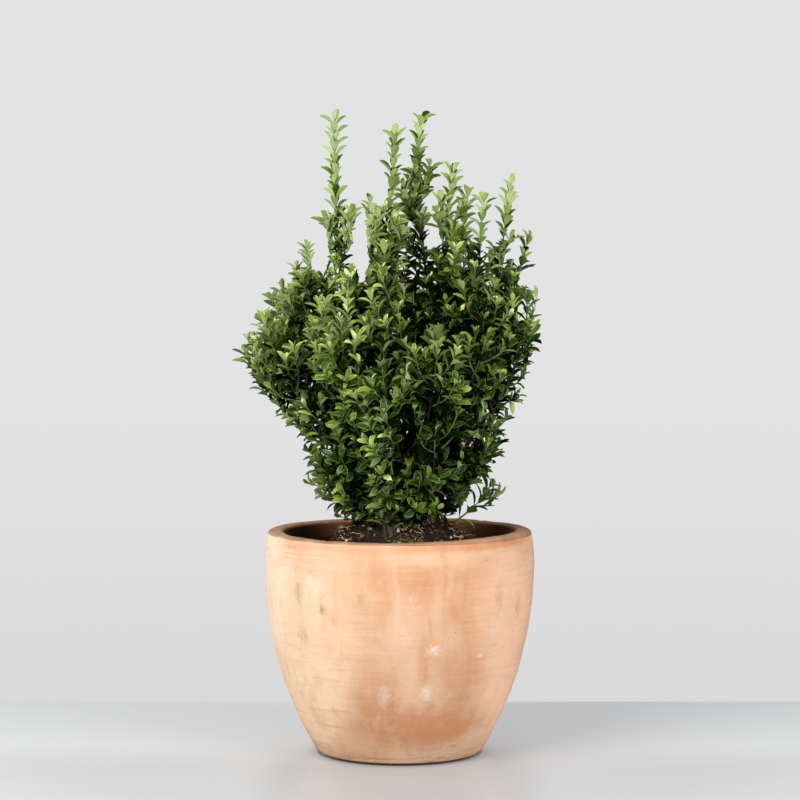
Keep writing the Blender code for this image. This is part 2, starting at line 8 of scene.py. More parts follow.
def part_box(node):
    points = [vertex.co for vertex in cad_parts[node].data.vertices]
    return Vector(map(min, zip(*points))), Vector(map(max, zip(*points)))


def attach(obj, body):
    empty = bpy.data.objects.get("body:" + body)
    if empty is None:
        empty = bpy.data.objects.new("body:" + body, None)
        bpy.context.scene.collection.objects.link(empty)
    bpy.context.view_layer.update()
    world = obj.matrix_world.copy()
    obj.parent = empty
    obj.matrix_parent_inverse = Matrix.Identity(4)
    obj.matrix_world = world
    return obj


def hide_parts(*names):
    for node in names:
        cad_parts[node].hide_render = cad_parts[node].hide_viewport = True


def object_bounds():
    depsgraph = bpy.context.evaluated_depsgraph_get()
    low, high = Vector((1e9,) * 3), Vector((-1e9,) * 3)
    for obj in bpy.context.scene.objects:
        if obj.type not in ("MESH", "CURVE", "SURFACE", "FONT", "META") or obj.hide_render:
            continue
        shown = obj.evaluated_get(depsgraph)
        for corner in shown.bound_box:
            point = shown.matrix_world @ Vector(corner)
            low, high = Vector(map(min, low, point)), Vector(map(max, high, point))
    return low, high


# A small upright evergreen shrub in a terracotta pot. Metres, +Z up; its fuller side faces -Y.
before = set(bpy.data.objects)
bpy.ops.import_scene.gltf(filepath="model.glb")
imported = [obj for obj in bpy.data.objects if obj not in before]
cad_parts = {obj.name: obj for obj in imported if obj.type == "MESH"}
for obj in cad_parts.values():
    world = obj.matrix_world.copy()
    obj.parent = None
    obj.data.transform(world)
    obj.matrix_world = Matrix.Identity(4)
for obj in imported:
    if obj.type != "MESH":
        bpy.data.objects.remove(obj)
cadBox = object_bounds()
upward = np.array([0.0, 0.0, 1.0])


def unit(vectors):
    # each vector divided by its own length
    return vectors / np.maximum(np.linalg.norm(vectors, axis=-1, keepdims=True), 1e-12)


def between(low, high, share):
    return low + (high - low) * share


def smoothly(low, high, value):
    # 0 up to low, 1 from high on, and 3s^2 - 2s^3 in between
    s = np.clip((value - low) / (high - low), 0.0, 1.0)
    return s * s * (3.0 - 2.0 * s)


def ripple(points, size, seed, waves=20):
    # smooth noise, mostly from -1 to 1: the sum of sine waves, each about size long, that run in
    # random directions
    dice = np.random.default_rng(seed)
    direction = unit(dice.normal(size=(waves, 3))) / (size * dice.uniform(0.7, 1.5, (waves, 1)))
    phase = dice.uniform(0.0, 2.0 * math.pi, waves)
    return np.sin(2.0 * math.pi * points @ direction.T + phase).sum(-1) / math.sqrt(2.0 * waves)


def placed(name, data):
    # a new object of the scene, from its mesh, lamp or lens
    made = bpy.data.objects.new(name, data)
    bpy.context.scene.collection.objects.link(made)
    return made


def makePiece(name, points, faces, finishes, faceFinish=None, sharpAbove=None):
    # faces is a list of index arrays, one for each number of corners
    mesh = bpy.data.meshes.new(name)
    corners = np.concatenate([part.ravel() for part in faces]).astype(np.int32)
    sizes = np.concatenate([np.full(len(part), part.shape[1]) for part in faces])
    starts = np.concatenate([[0], np.cumsum(sizes)[:-1]]).astype(np.int32)
    mesh.vertices.add(len(points))
    mesh.loops.add(len(corners))
    mesh.polygons.add(len(sizes))
    mesh.vertices.foreach_set("co", points.astype(np.float32).ravel())
    mesh.loops.foreach_set("vertex_index", corners)
    mesh.polygons.foreach_set("loop_start", starts)
    mesh.polygons.foreach_set("use_smooth", np.ones(len(sizes), bool))
    for finish in finishes:
        mesh.materials.append(finish)
    if faceFinish is not None:
        mesh.polygons.foreach_set("material_index", faceFinish.astype(np.int32))
    mesh.update(calc_edges=True)
    mesh.validate()
    if sharpAbove is not None:
        mesh.set_sharp_from_angle(angle=math.radians(sharpAbove))
    piece = placed(name, mesh)
    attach(piece, "root")
    return piece


def setNumbers(piece, name, values):
    # a number for each vertex, for a material to read
    attribute = piece.data.attributes.new(name, "FLOAT", "POINT")
    attribute.data.foreach_set("value", values.astype(np.float32).ravel())


class Shade:
    # a socket of a node tree; an operator on it adds the Math node that works it out

    def __init__(self, nodes, socket):
        self.nodes = nodes
        self.socket = socket

    def maths(self, operation, *others):
        return self.nodes.node("ShaderNodeMath", {"operation": operation}, [self, *others])

    def __add__(self, other):
        return self.maths("ADD", other)

    def __radd__(self, other):
        return self.maths("ADD", other)

    def __sub__(self, other):
        return self.maths("SUBTRACT", other)

    def __rsub__(self, other):
        return self.nodes.node("ShaderNodeMath", {"operation": "SUBTRACT"}, [other, self])

    def __mul__(self, other):
        return self.maths("MULTIPLY", other)

    def __rmul__(self, other):
        return self.maths("MULTIPLY", other)

    def step(self, low, high):
        # 0 up to low and 1 from high on, smoothly
        settings = {"interpolation_type": "SMOOTHSTEP"}
        values = {"Value": self, "From Min": low, "From Max": high}
        return self.nodes.node("ShaderNodeMapRange", settings, values)


class Nodes:
    # a node tree as it is made: node adds any node, from its settings and its sockets' values

    def __init__(self, tree):
        self.tree = tree

    def node(self, kind, settings=None, values=None, output=0):
        made = self.tree.nodes.new(kind)
        for key, value in (settings or {}).items():
            setattr(made, key, value)
        pairs = values.items() if isinstance(values, dict) else enumerate(values or [])
        for key, value in pairs:
            if isinstance(value, Shade):
                self.tree.links.new(value.socket, made.inputs[key])
            else:
                made.inputs[key].default_value = value
        return Shade(self, made.outputs[output])

    def blend(self, share, low, high):
        # two colours, each as red, green and blue or as a Shade, mixed by share
        values = {0: share, 6: rgb(low), 7: rgb(high)}
        return self.node("ShaderNodeMix", {"data_type": "RGBA"}, values, output=2)


class Surface(Nodes):
    # a material, whose shader's own values are given by name

    def __init__(self, name, **fixed):
        self.material = bpy.data.materials.new(name)
        self.material.use_nodes = True
        super().__init__(self.material.node_tree)
        self.shader = self.tree.nodes["Principled BSDF"]
        for key, value in fixed.items():
            self.shader.inputs[socketNames[key]].default_value = rgb(value)

    def place(self, stretch=(1.0, 1.0, 1.0)):
        # the point of the surface in metres, with each axis stretched
        here = self.node("ShaderNodeTexCoord", output="Object")
        return self.node("ShaderNodeVectorMath", {"operation": "MULTIPLY"}, [here, stretch])

    def axis(self, name):
        # the surface's own X, Y or Z, in metres
        return self.node("ShaderNodeSeparateXYZ", None, [self.place()], output=name)

    def distance(self, centre, size):
        # |(point - centre) / size|, which is 1 on an ellipsoid of that size
        away = self.node("ShaderNodeVectorMath", {"operation": "SUBTRACT"}, [self.place(), centre])
        scaled = self.node("ShaderNodeVectorMath", {"operation": "DIVIDE"}, [away, size])
        return self.length(scaled)

    def length(self, vector):
        return self.node("ShaderNodeVectorMath", {"operation": "LENGTH"}, [vector], output="Value")

    def noise(self, scale, detail=3.0, roughness=0.55, stretch=(1.0, 1.0, 1.0), distortion=0.0):
        values = {"Vector": self.place(stretch), "Scale": scale, "Detail": detail}
        values |= {"Roughness": roughness, "Distortion": distortion}
        return self.node("ShaderNodeTexNoise", None, values)

    def number(self, name):
        return self.node("ShaderNodeAttribute", {"attribute_name": name}, output="Fac")

    def finish(self, colour, roughness=None, relief=None, depth=0.001, strength=1.0):
        self.tree.links.new(colour.socket, self.shader.inputs["Base Color"])
        if roughness is not None:
            self.tree.links.new(roughness.socket, self.shader.inputs["Roughness"])
        if relief is not None:
            values = {"Height": relief, "Distance": depth, "Strength": strength}
            bump = self.node("ShaderNodeBump", None, values)
            self.tree.links.new(bump.socket, self.shader.inputs["Normal"])
        return self.material


socketNames = {
    "colour": "Base Color",
    "roughness": "Roughness",
    "specular": "Specular IOR Level",
    "glow": "Emission Strength",
}


def rgb(colour):
    # red, green and blue with a full alpha; anything else stays as it is
    return (*colour, 1.0) if isinstance(colour, tuple) else colour


def evenly(path, count):
    # the same path through count points at equal distances
    reach = lengthsOf(path)
    return pointsAt(path, np.linspace(0.0, reach[-1], count))


def lengthsOf(path):
    steps = np.linalg.norm(np.diff(path, axis=0), axis=1)
    return np.concatenate([[0.0], np.cumsum(steps)])


def pointsAt(path, lengths):
    reach = lengthsOf(path)
    return np.stack([np.interp(lengths, reach, path[:, axis]) for axis in range(3)], axis=-1)


def headingsAt(path, lengths):
    # the path's direction, from a point 2 mm before to a point 2 mm after
    lengths = np.asarray(lengths, float)
    return unit(pointsAt(path, lengths + 0.002) - pointsAt(path, lengths - 0.002))


def curve(a, b, c, d, count=48):
    # (1-s)^3 a + 3(1-s)^2 s b + 3(1-s) s^2 c + s^3 d, through points at equal distances
    s = np.linspace(0.0, 1.0, 2 * count)[:, None]
    points = (1 - s) ** 3 * a + 3 * (1 - s) ** 2 * s * b + 3 * (1 - s) * s**2 * c + s**3 * d
    return evenly(points, count)


def limbCurve(start, leave, tip, finish, shares, count=48):
    # leaves start along one direction and reaches tip along the other; the shares of the distance
    # between them say how strongly it holds to each
    reach = np.linalg.norm(tip - start)
    return curve(start, start + leave * reach * shares[0], tip - finish * reach * shares[1], tip, count)


def squareTo(heading):
    # two directions square to each heading
    lean = np.array([0.31, 0.95, 0.06])
    u = unit(np.cross(heading, lean))
    return u, np.cross(heading, u)


def ringFaces(rows, sides):
    # quads between rows of ring points, and two fans to the end points that follow them
    k = np.arange(sides)
    nextK = (k + 1) % sides
    low = sides * np.arange(rows - 1)[:, None]
    quads = np.stack([low + k, low + nextK, low + sides + nextK, low + sides + k], axis=-1)
    top = sides * (rows - 1)
    foot = np.stack([np.full(sides, sides * rows), nextK, k], axis=-1)
    cap = np.stack([np.full(sides, sides * rows + 1), top + k, top + nextK], axis=-1)
    return quads.reshape(-1, 4), np.concatenate([foot, cap])


def circle(count):
    # count angles evenly round a full turn
    return 2.0 * math.pi * np.arange(count) / count


def tubes(paths, radii, sides):
    # a closed tube along each path: ring points at path + radius (u cos a + v sin a), with u the
    # normal of the path's own bend; paths is (tubes, rows, 3), radii (tubes, rows, sides or 1)
    count, rows = paths.shape[:2]
    heading = unit(np.gradient(paths, axis=1))
    bend = np.cross(heading[:, 0], heading[:, -1])
    straight = np.linalg.norm(bend, axis=1, keepdims=True) < 0.05
    across = np.where(straight, squareTo(heading[:, 0])[0], bend)[:, None]
    u = unit(across - heading * (across * heading).sum(-1, keepdims=True))
    v = np.cross(heading, u)
    turn = circle(sides)
    ring = np.cos(turn)[:, None] * u[:, :, None] + np.sin(turn)[:, None] * v[:, :, None]
    rings = paths[:, :, None] + ring * radii[..., None]
    points = np.concatenate([rings.reshape(count, -1, 3), paths[:, [0, -1]]], axis=1)
    faces = [repeated(one, count, points.shape[1]) for one in ringFaces(rows, sides)]
    return points.reshape(-1, 3), faces


def repeated(faces, count, step):
    # the same faces for each of count shapes, whose points follow each other step by step
    moved = faces[None] + step * np.arange(count)[:, None, None]
    return moved.reshape(-1, faces.shape[-1])


print("helpers ready, CAD box", [round(side, 4) for corner in cadBox for side in corner])


# The pot: its wall swells from a narrow foot to its widest line a little under a thick lip.
pot = {
    "height": 0.266,
    "footRadius": 0.097,
    "footChamfer": 0.0022,
    "widestRadius": 0.161,
    "widestHeight": 0.230,
    "swellPower": 2.17,
    "lipRadius": 0.1575,
    "lipWidth": 0.0180,
    "lipOuterRound": 0.0030,
    "lipInnerRound": 0.0045,
    "lipDepth": 0.016,
    "wall": 0.015,
    "floor": 0.018,
    "columns": 300,
    "wallRows": 150,
    "footRows": 8,
    "lipRows": 8,
    "throwingRelief": 0.00004,
    "throwing": (  # each wave's share, its pitch, its phase and how far its phase drifts round the pot
        (1.0, 0.0071, 0.0, 1.5),
        (0.7, 0.0113, 2.1, 0.0),
        (0.5, 0.0037, 0.0, 2.0),
    ),
    "wobble": 0.0007,
    "dents": 0.00045,
    "footChips": 0.0012,
    "lipChips": 0.0007,
    "lipTilt": 0.0008,
}


def potRadius(height):
    # widest - (widest - foot) * (share below the widest line) ^ power, and a short curve above it
    below = np.clip((pot["widestHeight"] - height) / pot["widestHeight"], 0.0, 1.0)
    above = np.clip((height - pot["widestHeight"]) / (pot["height"] - pot["widestHeight"]), 0.0, 1.0)
    swell = (pot["widestRadius"] - pot["footRadius"]) * below ** pot["swellPower"]
    return pot["widestRadius"] - swell - (pot["widestRadius"] - pot["lipRadius"]) * above**2


def arc(centre, radius, start, end, count):
    # points (radius, height) round a corner, between two angles in degrees
    turn = np.radians(np.linspace(start, end, count))
    return np.stack([centre[0] + radius * np.cos(turn), centre[1] + radius * np.sin(turn)], axis=1)


def potProfile():
    # (radius, height) from the middle of the underside, up the outside, over the lip and down the
    # inside to the middle of the floor
    outer, inner = pot["lipOuterRound"], pot["lipInnerRound"]
    lipInside = pot["lipRadius"] - pot["lipWidth"]
    footFlat = np.linspace(0.02, pot["footRadius"] - pot["footChamfer"], pot["footRows"])
    wall = np.linspace(pot["footChamfer"], pot["height"] - outer - 0.0005, pot["wallRows"])
    innerWall = np.linspace(pot["height"] - pot["lipDepth"], pot["floor"] + 0.012, 40)
    thin = potRadius(innerWall) - pot["wall"]
    ease = smoothly(0.0, 0.02, pot["height"] - pot["lipDepth"] - innerWall)
    innerRadius = between(lipInside, thin, ease)
    floorFlat = np.linspace(innerRadius[-1] - 0.008, 0.02, 6)
    parts = [
        np.stack([footFlat, 0 * footFlat], axis=1),
        np.stack([potRadius(wall), wall], axis=1),
        arc((pot["lipRadius"] - outer, pot["height"] - outer), outer, 8, 90, pot["lipRows"]),
        arc((lipInside + inner, pot["height"] - inner), inner, 90, 175, 9),
        np.stack([innerRadius, innerWall], axis=1),
        np.stack([floorFlat, np.full(6, pot["floor"])], axis=1),
    ]
    return np.concatenate(parts)


def turned(radius, height):
    # points at (radius, height), turned about Z; the last axis of radius goes round the circle
    turn = circle(radius.shape[-1])
    return np.stack([radius * np.cos(turn), radius * np.sin(turn), height], axis=-1)


def turnedGrid(profile, columns):
    # the profile's radius and height at each column round the circle, and the points they give
    radius = np.repeat(profile[:, :1], columns, axis=1)
    height = np.repeat(profile[:, 1:], columns, axis=1)
    return radius, height, turned(radius, height)


def turnedShell(radius, height):
    # a surface turned about Z from grids (rows, columns) of radius and height, closed at both ends
    # by one point on the axis
    ends = [[0.0, 0.0, height[0].mean()], [0.0, 0.0, height[-1].mean()]]
    points = np.concatenate([turned(radius, height).reshape(-1, 3), ends])
    return points, list(ringFaces(*radius.shape))


def throwingLines(height, round3d):
    # fine rings left by the hands: the sum of sine waves of the height, which fades in and out round
    # the pot
    lines = 0 * height
    for share, pitch, phase, drift in pot["throwing"]:
        lines += share * np.sin(height * 2 * math.pi / pitch + phase + drift * round3d)
    return lines * (0.6 + 0.5 * round3d)


def makePot(finish):
    # the turned profile, pushed in and out along its own normal: rings of throwing, a slow wobble,
    # soft dents and a few chips at the foot and the lip
    profile = potProfile()
    turn = circle(pot["columns"])
    radius, height, spot = turnedGrid(profile, pot["columns"])
    along = unit(np.gradient(profile, axis=0))
    slow = ripple(spot, 0.11, 3)
    push = pot["throwingRelief"] * throwingLines(height, slow)
    push += pot["dents"] * ripple(spot, 0.045, 4)
    push += pot["wobble"] * (np.cos(2 * turn + 0.8) + 0.5 * np.cos(3 * turn + 2.0))
    push *= smoothly(0.0, 0.006, height)  # the foot stays flat
    chips = smoothly(0.55, 1.0, ripple(spot, 0.016, 5))
    foot = np.exp(-(((height - 0.004) / 0.004) ** 2)) * (radius > 0.08)
    rim = np.exp(-(((height - pot["height"]) / 0.003) ** 2))
    push -= chips * (pot["footChips"] * foot + pot["lipChips"] * rim)
    radius = radius + push * along[:, 1:]
    height = np.maximum(height - push * along[:, :1], 0.0)
    height += pot["lipTilt"] * np.cos(turn + 0.4) * smoothly(0.2, pot["height"], height)
    points, faces = turnedShell(radius, height)
    piece = makePiece("clay_pot", points, faces, [finish])
    depth = pot["height"] - points[:, 2]
    row = np.arange(len(profile))
    lipRow = pot["footRows"] + pot["wallRows"] + pot["lipRows"]  # the first of the lip's inner round
    inside = np.repeat(smoothly(lipRow + 2, lipRow + 7, row), pot["columns"])
    setNumbers(piece, "inside", np.concatenate([inside, [0.0, 1.0]]))
    setNumbers(piece, "lipTop", smoothly(0.0032, 0.0010, depth))
    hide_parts("pot")


def smudge(surface, centre, size, seed):
    # a soft worn spot that fades out to its edge, broken up into short upright strokes by noise
    scale = 1.0 + 0.13 * seed
    broken = surface.noise(scale, detail=5.0, stretch=(260.0, 260.0, 110.0)).step(0.36, 0.64)
    edge = surface.noise(scale, detail=4.0, stretch=(90.0, 90.0, 60.0)) - 0.5
    ragged = surface.distance(centre, size) + edge * 1.6
    return (1.0 - ragged.step(0.05, 0.95)) * (broken * 0.65 + 0.35)


def terracotta():
    # peach clay, mottled pale and rusty, with drips, throwing streaks, scratches, specks and marks; painted
    # light and shade too
    clay = Surface("terracotta", roughness=0.86, specular=0.25)
    height = clay.axis("Z")
    large = clay.noise(9.0, detail=5.0, distortion=0.8)
    drips = clay.noise(1.0, detail=4.0, roughness=0.6, stretch=(42.0, 42.0, 8.0), distortion=0.6)
    streaks = clay.noise(1.0, detail=5.0, roughness=0.65, stretch=(14.0, 14.0, 210.0))
    brushed = clay.noise(1.0, detail=6.0, roughness=0.72, stretch=(44.0, 44.0, 430.0), distortion=0.6)
    mottle = clay.noise(46.0, detail=5.0, roughness=0.65)
    grain = clay.noise(420.0, detail=2.0)
    colour = clay.blend(large.step(0.34, 0.66), (0.605, 0.322, 0.175), (0.675, 0.436, 0.284))
    for centre, size, tone, share in potPatches:
        ragged = clay.distance(centre, size) + (large - 0.5) * 1.1
        ragged = ragged + (drips - 0.5) * 0.7 + (streaks - 0.5) * 0.7
        colour = clay.blend((1.0 - ragged.step(0.30, 1.20)) * share, colour, clayTones[tone])
    wallOnly = height.step(0.03, 0.12) * height.step(0.262, 0.225)
    lower = height.step(0.20, 0.05) * 0.5 + 0.5
    layers = [  # the share and the colour of each layer, the lowest first
        (drips.step(0.50, 0.74) * wallOnly * 0.45, clayTones["pale"]),
        (drips.step(0.47, 0.28) * 0.30, clayTones["rust"]),
        (mottle.step(0.50, 0.75) * 0.22, clayTones["rust"]),
        (mottle.step(0.50, 0.28) * 0.22, clayTones["pale"]),
        (streaks.step(0.56, 0.74) * 0.22, (0.43, 0.215, 0.115)),
        (streaks.step(0.44, 0.28) * 0.18, clayTones["pale"]),
        (brushed.step(0.55, 0.74) * lower * 0.36, (0.47, 0.215, 0.105)),
        (brushed.step(0.43, 0.27) * 0.20, (0.84, 0.66, 0.50)),
    ]
    for number, (centre, size, dark) in enumerate(potSmudges):
        layers.append((smudge(clay, centre, size, number) * dark, (0.33, 0.225, 0.145)))
    for number, (centre, size, pale) in enumerate(potScuffs):
        layers.append((smudge(clay, centre, size, number + 20) * pale, (0.80, 0.74, 0.66)))
    specks = clay.noise(520.0, detail=1.0).step(0.71, 0.78)
    foot = (1.0 - height.step(0.004, 0.022)) * brushed.step(0.50, 0.60)
    lipTop = clay.number("lipTop")
    worn = clay.noise(34.0, detail=5.0).step(0.25, 0.75)
    lipLine = lipTop.step(0.03, 0.30) * (1.0 - lipTop.step(0.55, 0.90)) * (worn * 0.6 + 0.2)
    layers += [
        (specks * 0.55, (0.26, 0.13, 0.07)),
        (foot * 0.45, (0.30, 0.16, 0.10)),
        # a near-black band round the bottom few millimetres: painted shade where the pot meets the floor
        ((1.0 - height.step(0.0016, 0.0040)) * 0.90, (0.060, 0.026, 0.014)),
        (lipTop * (worn * 0.35 + 0.60), (0.27, 0.145, 0.085)),
        (lipLine, (0.15, 0.070, 0.040)),
    ]
    for share, tone in layers:
        colour = clay.blend(share, colour, tone)
    # the inside above the soil is painted shade, near black and varied by damp patches, with a paler
    # painted light on the inner wall from a little left of the middle rightwards; the far left stays in
    # painted shade
    dampAndShade = clay.noise(14.0, detail=4.0).step(0.35, 0.7)
    inner = clay.blend(dampAndShade, (0.058, 0.026, 0.012), (0.14, 0.058, 0.028))
    inner = clay.blend(clay.axis("X").step(-0.115, -0.055) * 0.80, inner, (0.40, 0.17, 0.08))
    colour = clay.blend(clay.number("inside"), colour, inner)
    relief = grain * 0.35 + streaks * 0.45 + clay.noise(160.0, detail=3.0) * 0.5
    return clay.finish(colour, large * 0.12 + 0.80, relief, depth=0.0009, strength=0.35)


clayTones = {
    "pale": (0.750, 0.555, 0.400),
    "straw": (0.880, 0.640, 0.440),
    "rust": (0.530, 0.235, 0.105),
    "salmon": (0.820, 0.510, 0.350),
    "ember": (0.590, 0.240, 0.115),
    "blush": (0.940, 0.720, 0.540),
}
potPatches = [  # soft patches of one tone: where, how large, the tone and its share
    # painted light: the straw patches and the blush patch on the left side stand for the key lamp's
    # brighter light there
    ((-0.105, -0.115, 0.160), (0.080, 0.10, 0.115), "straw", 0.75),
    ((-0.158, -0.020, 0.190), (0.040, 0.14, 0.150), "blush", 0.90),
    ((-0.104, -0.070, 0.070), (0.056, 0.12, 0.080), "straw", 0.95),
    ((0.112, -0.060, 0.080), (0.036, 0.12, 0.075), "salmon", 0.90),
    ((0.000, -0.152, 0.137), (0.036, 0.10, 0.060), "pale", 0.45),
    ((0.010, -0.150, 0.180), (0.110, 0.10, 0.090), "rust", 0.16),
    ((0.020, -0.160, 0.228), (0.085, 0.10, 0.022), "rust", 0.35),
    ((0.038, -0.110, 0.052), (0.092, 0.10, 0.038), "rust", 0.85),
    ((0.020, -0.110, 0.034), (0.060, 0.10, 0.020), "rust", 0.45),
    ((-0.030, -0.120, 0.080), (0.030, 0.10, 0.045), "rust", 0.35),
    ((0.067, -0.133, 0.112), (0.050, 0.10, 0.040), "rust", 0.45),
    ((0.028, -0.149, 0.118), (0.009, 0.10, 0.045), "rust", 0.55),
    ((0.128, -0.095, 0.180), (0.050, 0.10, 0.085), "salmon", 0.80),
    ((0.105, -0.117, 0.2610), (0.080, 0.12, 0.0075), "ember", 0.90),
    ((-0.040, -0.150, 0.2590), (0.120, 0.12, 0.0080), "rust", 0.30),
    ((0.040, -0.155, 0.2480), (0.055, 0.10, 0.0100), "pale", 0.35),
]
# dark marks and pale scuffs on the pot's face: where, how wide and high, and how strong
potSmudges = [
    ((-0.089, -0.132, 0.186), (0.006, 0.03, 0.011), 0.95),
    ((-0.091, -0.132, 0.200), (0.007, 0.03, 0.018), 0.45),
    ((-0.117, -0.109, 0.200), (0.009, 0.03, 0.022), 0.50),
    ((-0.111, -0.109, 0.156), (0.010, 0.03, 0.020), 0.45),
    ((-0.045, -0.155, 0.203), (0.010, 0.03, 0.014), 0.40),
    ((0.115, -0.111, 0.199), (0.008, 0.03, 0.032), 0.45),
    ((0.138, -0.080, 0.186), (0.007, 0.03, 0.030), 0.50),
    ((0.100, -0.125, 0.243), (0.0035, 0.03, 0.0016), 1.00),
    ((0.040, -0.100, 0.020), (0.050, 0.03, 0.0035), 0.35),
    ((0.062, -0.090, 0.022), (0.007, 0.03, 0.0025), 0.90),
]
potScuffs = [
    ((0.039, -0.148, 0.143), (0.013, 0.03, 0.0080), 0.85),
    ((0.030, -0.137, 0.092), (0.009, 0.03, 0.0150), 0.70),
    ((-0.018, -0.137, 0.086), (0.012, 0.03, 0.0200), 0.45),
    ((-0.104, -0.123, 0.219), (0.008, 0.03, 0.0120), 0.75),
    ((-0.094, -0.123, 0.211), (0.014, 0.03, 0.0180), 0.45),
    ((0.093, -0.119, 0.133), (0.005, 0.03, 0.0050), 0.70),
    ((0.013, -0.160, 0.203), (0.003, 0.03, 0.0045), 0.90),
    ((-0.124, -0.100, 0.226), (0.003, 0.03, 0.0090), 0.60),
]
makePot(terracotta())
print("pot made")


# The limbs, by the same rule as the solids: a stem rises straight from the soil and leans out, and
# a bough leaves it outwards and turns upright to its spire's tip.
soilTop = pot["height"] + 0.009
limbs = {
    "gap": 0.0003,
    "stemFoot": 0.0050,
    "stemTop": 0.0036,
    "flare": 0.75,
    "flareHeight": 0.007,
    "stemLean": 0.42,
    "bough": 0.0027,
    "boughEnd": 0.0019,
    "outwardBend": 0.30,
    "tipLeafReach": -0.004,
    "ridges": 0.055,
    "joints": 0.10,
    "jointStep": 0.011,
    "jointWidth": 0.0009,
}
stems = {  # foot (x, y) and top (x, y, z)
    "stem_left": ((-0.018, -0.020), (-0.058, -0.026, 0.362)),
    "stem_front": ((0.016, -0.026), (0.016, -0.054, 0.356)),
    "stem_right": ((0.041, 0.000), (0.082, 0.000, 0.372)),
    "stem_back_left": ((-0.014, 0.020), (-0.034, 0.040, 0.384)),
    "stem_back_right": ((0.020, 0.026), (0.038, 0.052, 0.378)),
}
spires = {  # its stem, how far up the stem its bough leaves, where its leaves begin, and its tip
    "left_low": ("stem_left", 0.44, 0.24, (-0.182, 0.010, 0.488)),
    "left_outer": ("stem_left", 0.62, 0.24, (-0.160, -0.052, 0.516)),
    "left_mid": ("stem_left", 1.00, 0.22, (-0.142, 0.030, 0.552)),
    "left_spire": ("stem_left", 0.80, 0.22, (-0.110, -0.010, 0.598)),
    "front_left": ("stem_left", 0.54, 0.22, (-0.068, -0.108, 0.512)),
    "front_centre": ("stem_front", 0.46, 0.24, (-0.020, -0.136, 0.462)),
    "front_high": ("stem_front", 1.00, 0.20, (-0.018, -0.074, 0.600)),
    "front_right": ("stem_front", 0.62, 0.18, (0.044, -0.124, 0.484)),
    "front_outer": ("stem_front", 0.80, 0.22, (0.102, -0.092, 0.500)),
    "right_low": ("stem_right", 0.50, 0.22, (0.164, -0.030, 0.546)),
    "right_lean": ("stem_right", 0.66, 0.20, (0.157, 0.036, 0.612)),
    "right_tall": ("stem_right", 1.00, 0.18, (0.134, 0.012, 0.676)),
    "right_inner": ("stem_right", 0.82, 0.18, (0.100, -0.034, 0.655)),
    "tall_left": ("stem_back_left", 0.66, 0.18, (-0.078, 0.012, 0.752)),
    "tall_middle": ("stem_back_left", 1.00, 0.17, (-0.006, -0.014, 0.732)),
    "middle_left": ("stem_back_left", 0.82, 0.18, (-0.034, -0.062, 0.652)),
    "back_left": ("stem_back_left", 0.50, 0.22, (-0.096, 0.098, 0.566)),
    "summit": ("stem_back_right", 1.00, 0.17, (0.027, 0.026, 0.756)),
    "tall_right": ("stem_back_right", 0.84, 0.18, (0.064, -0.018, 0.690)),
    "middle_right": ("stem_back_right", 0.68, 0.18, (0.082, 0.040, 0.664)),
    "back_middle": ("stem_back_right", 0.54, 0.22, (-0.006, 0.128, 0.602)),
    "back_right": ("stem_back_right", 0.46, 0.22, (0.092, 0.112, 0.560)),
}
bareTips = {  # how far below a spire's tip its highest side shoot ends
    "tall_left": 0.112,
    "tall_middle": 0.085,
    "summit": 0.058,
    "right_tall": 0.060,
    "right_lean": 0.030,
    "left_spire": 0.028,
}
sways = {  # how far a spire bends aside below its tip, on X
    "summit": -0.012,
    "tall_left": -0.004,
    "tall_middle": 0.001,
    "tall_right": -0.006,
    "middle_right": -0.003,
    "right_inner": -0.004,
    "right_tall": -0.005,
    "right_lean": -0.009,
}
skirt = {"count": 9, "lowReach": 0.092, "highReach": 0.120, "lowTip": 0.345, "highTip": 0.425}


def stemPath(foot, top):
    base = np.array([*foot, soilTop + limbs["gap"]])
    top = np.array(top)
    finish = unit(unit(top * [1, 1, 0]) * limbs["stemLean"] + upward)
    return limbCurve(base, upward, top, finish, (0.3, 0.35))


def spirePath(stem, leavesAt, tip):
    # the whole limb from its stem to its spire's tip: outwards first, then upright
    length = lengthsOf(stem)[-1]
    start = pointsAt(stem, length * leavesAt)
    tip = np.array(tip) - upward * limbs["tipLeafReach"]
    towards = unit(tip - start)
    heading = headingsAt(stem, length * min(leavesAt, 0.96))
    if leavesAt < 1.0:
        flat = (tip - start) * [1, 1, 0]
        outward = flat / max(np.linalg.norm(flat), 0.02)
        heading = unit(heading * 0.25 + towards * 0.9 + outward * limbs["outwardBend"])
    return limbCurve(start, heading, tip, unit(upward + towards * 0.8), (0.30, 0.38), 90)


def skirtPath(number):
    # a short shoot low on the nearest stem, towards the middle of its own mass
    outward = unit(np.mean(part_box(f"foliage_skirt_{number + 1}"), axis=0) * [1, 1, 0])
    stem = max(stemPaths.values(), key=lambda path: path[-1] @ outward)
    odd = number % 2
    out = skirt["highReach"] if odd else skirt["lowReach"]
    length = lengthsOf(stem)[-1] * (0.34 if odd else 0.20)
    heading = headingsAt(stem, length)
    square = unit(outward - heading * (outward @ heading))
    start = pointsAt(stem, length) + square * 0.003
    tip = outward * out + upward * (skirt["highTip"] if odd else skirt["lowTip"])
    rise = unit(outward * 0.7 + upward * 0.8)
    return limbCurve(start, unit(square + heading * 0.25), tip, rise, (0.35, 0.35))


stemPaths = {name: stemPath(*ends) for name, ends in stems.items()}
boughPaths = {}
masses = {}  # the main twig of each mass of foliage
for name, (stemName, leavesAt, foliageAt, tip) in spires.items():
    whole = spirePath(stemPaths[stemName], leavesAt, tip)
    length = lengthsOf(whole)[-1]
    cut = length * foliageAt
    boughPaths["bough_" + name] = pointsAt(whole, np.linspace(0.0, cut, 40))
    share = np.linspace(0.0, 1.0, 60)[:, None]
    aside = np.array([sways.get(name, 0.0), 0.0, 0.0]) * np.sin(math.pi * share**1.5)
    masses["foliage_" + name] = pointsAt(whole, np.linspace(cut, length, 60)) + aside
for number in range(skirt["count"]):
    masses[f"foliage_skirt_{number + 1}"] = skirtPath(number)


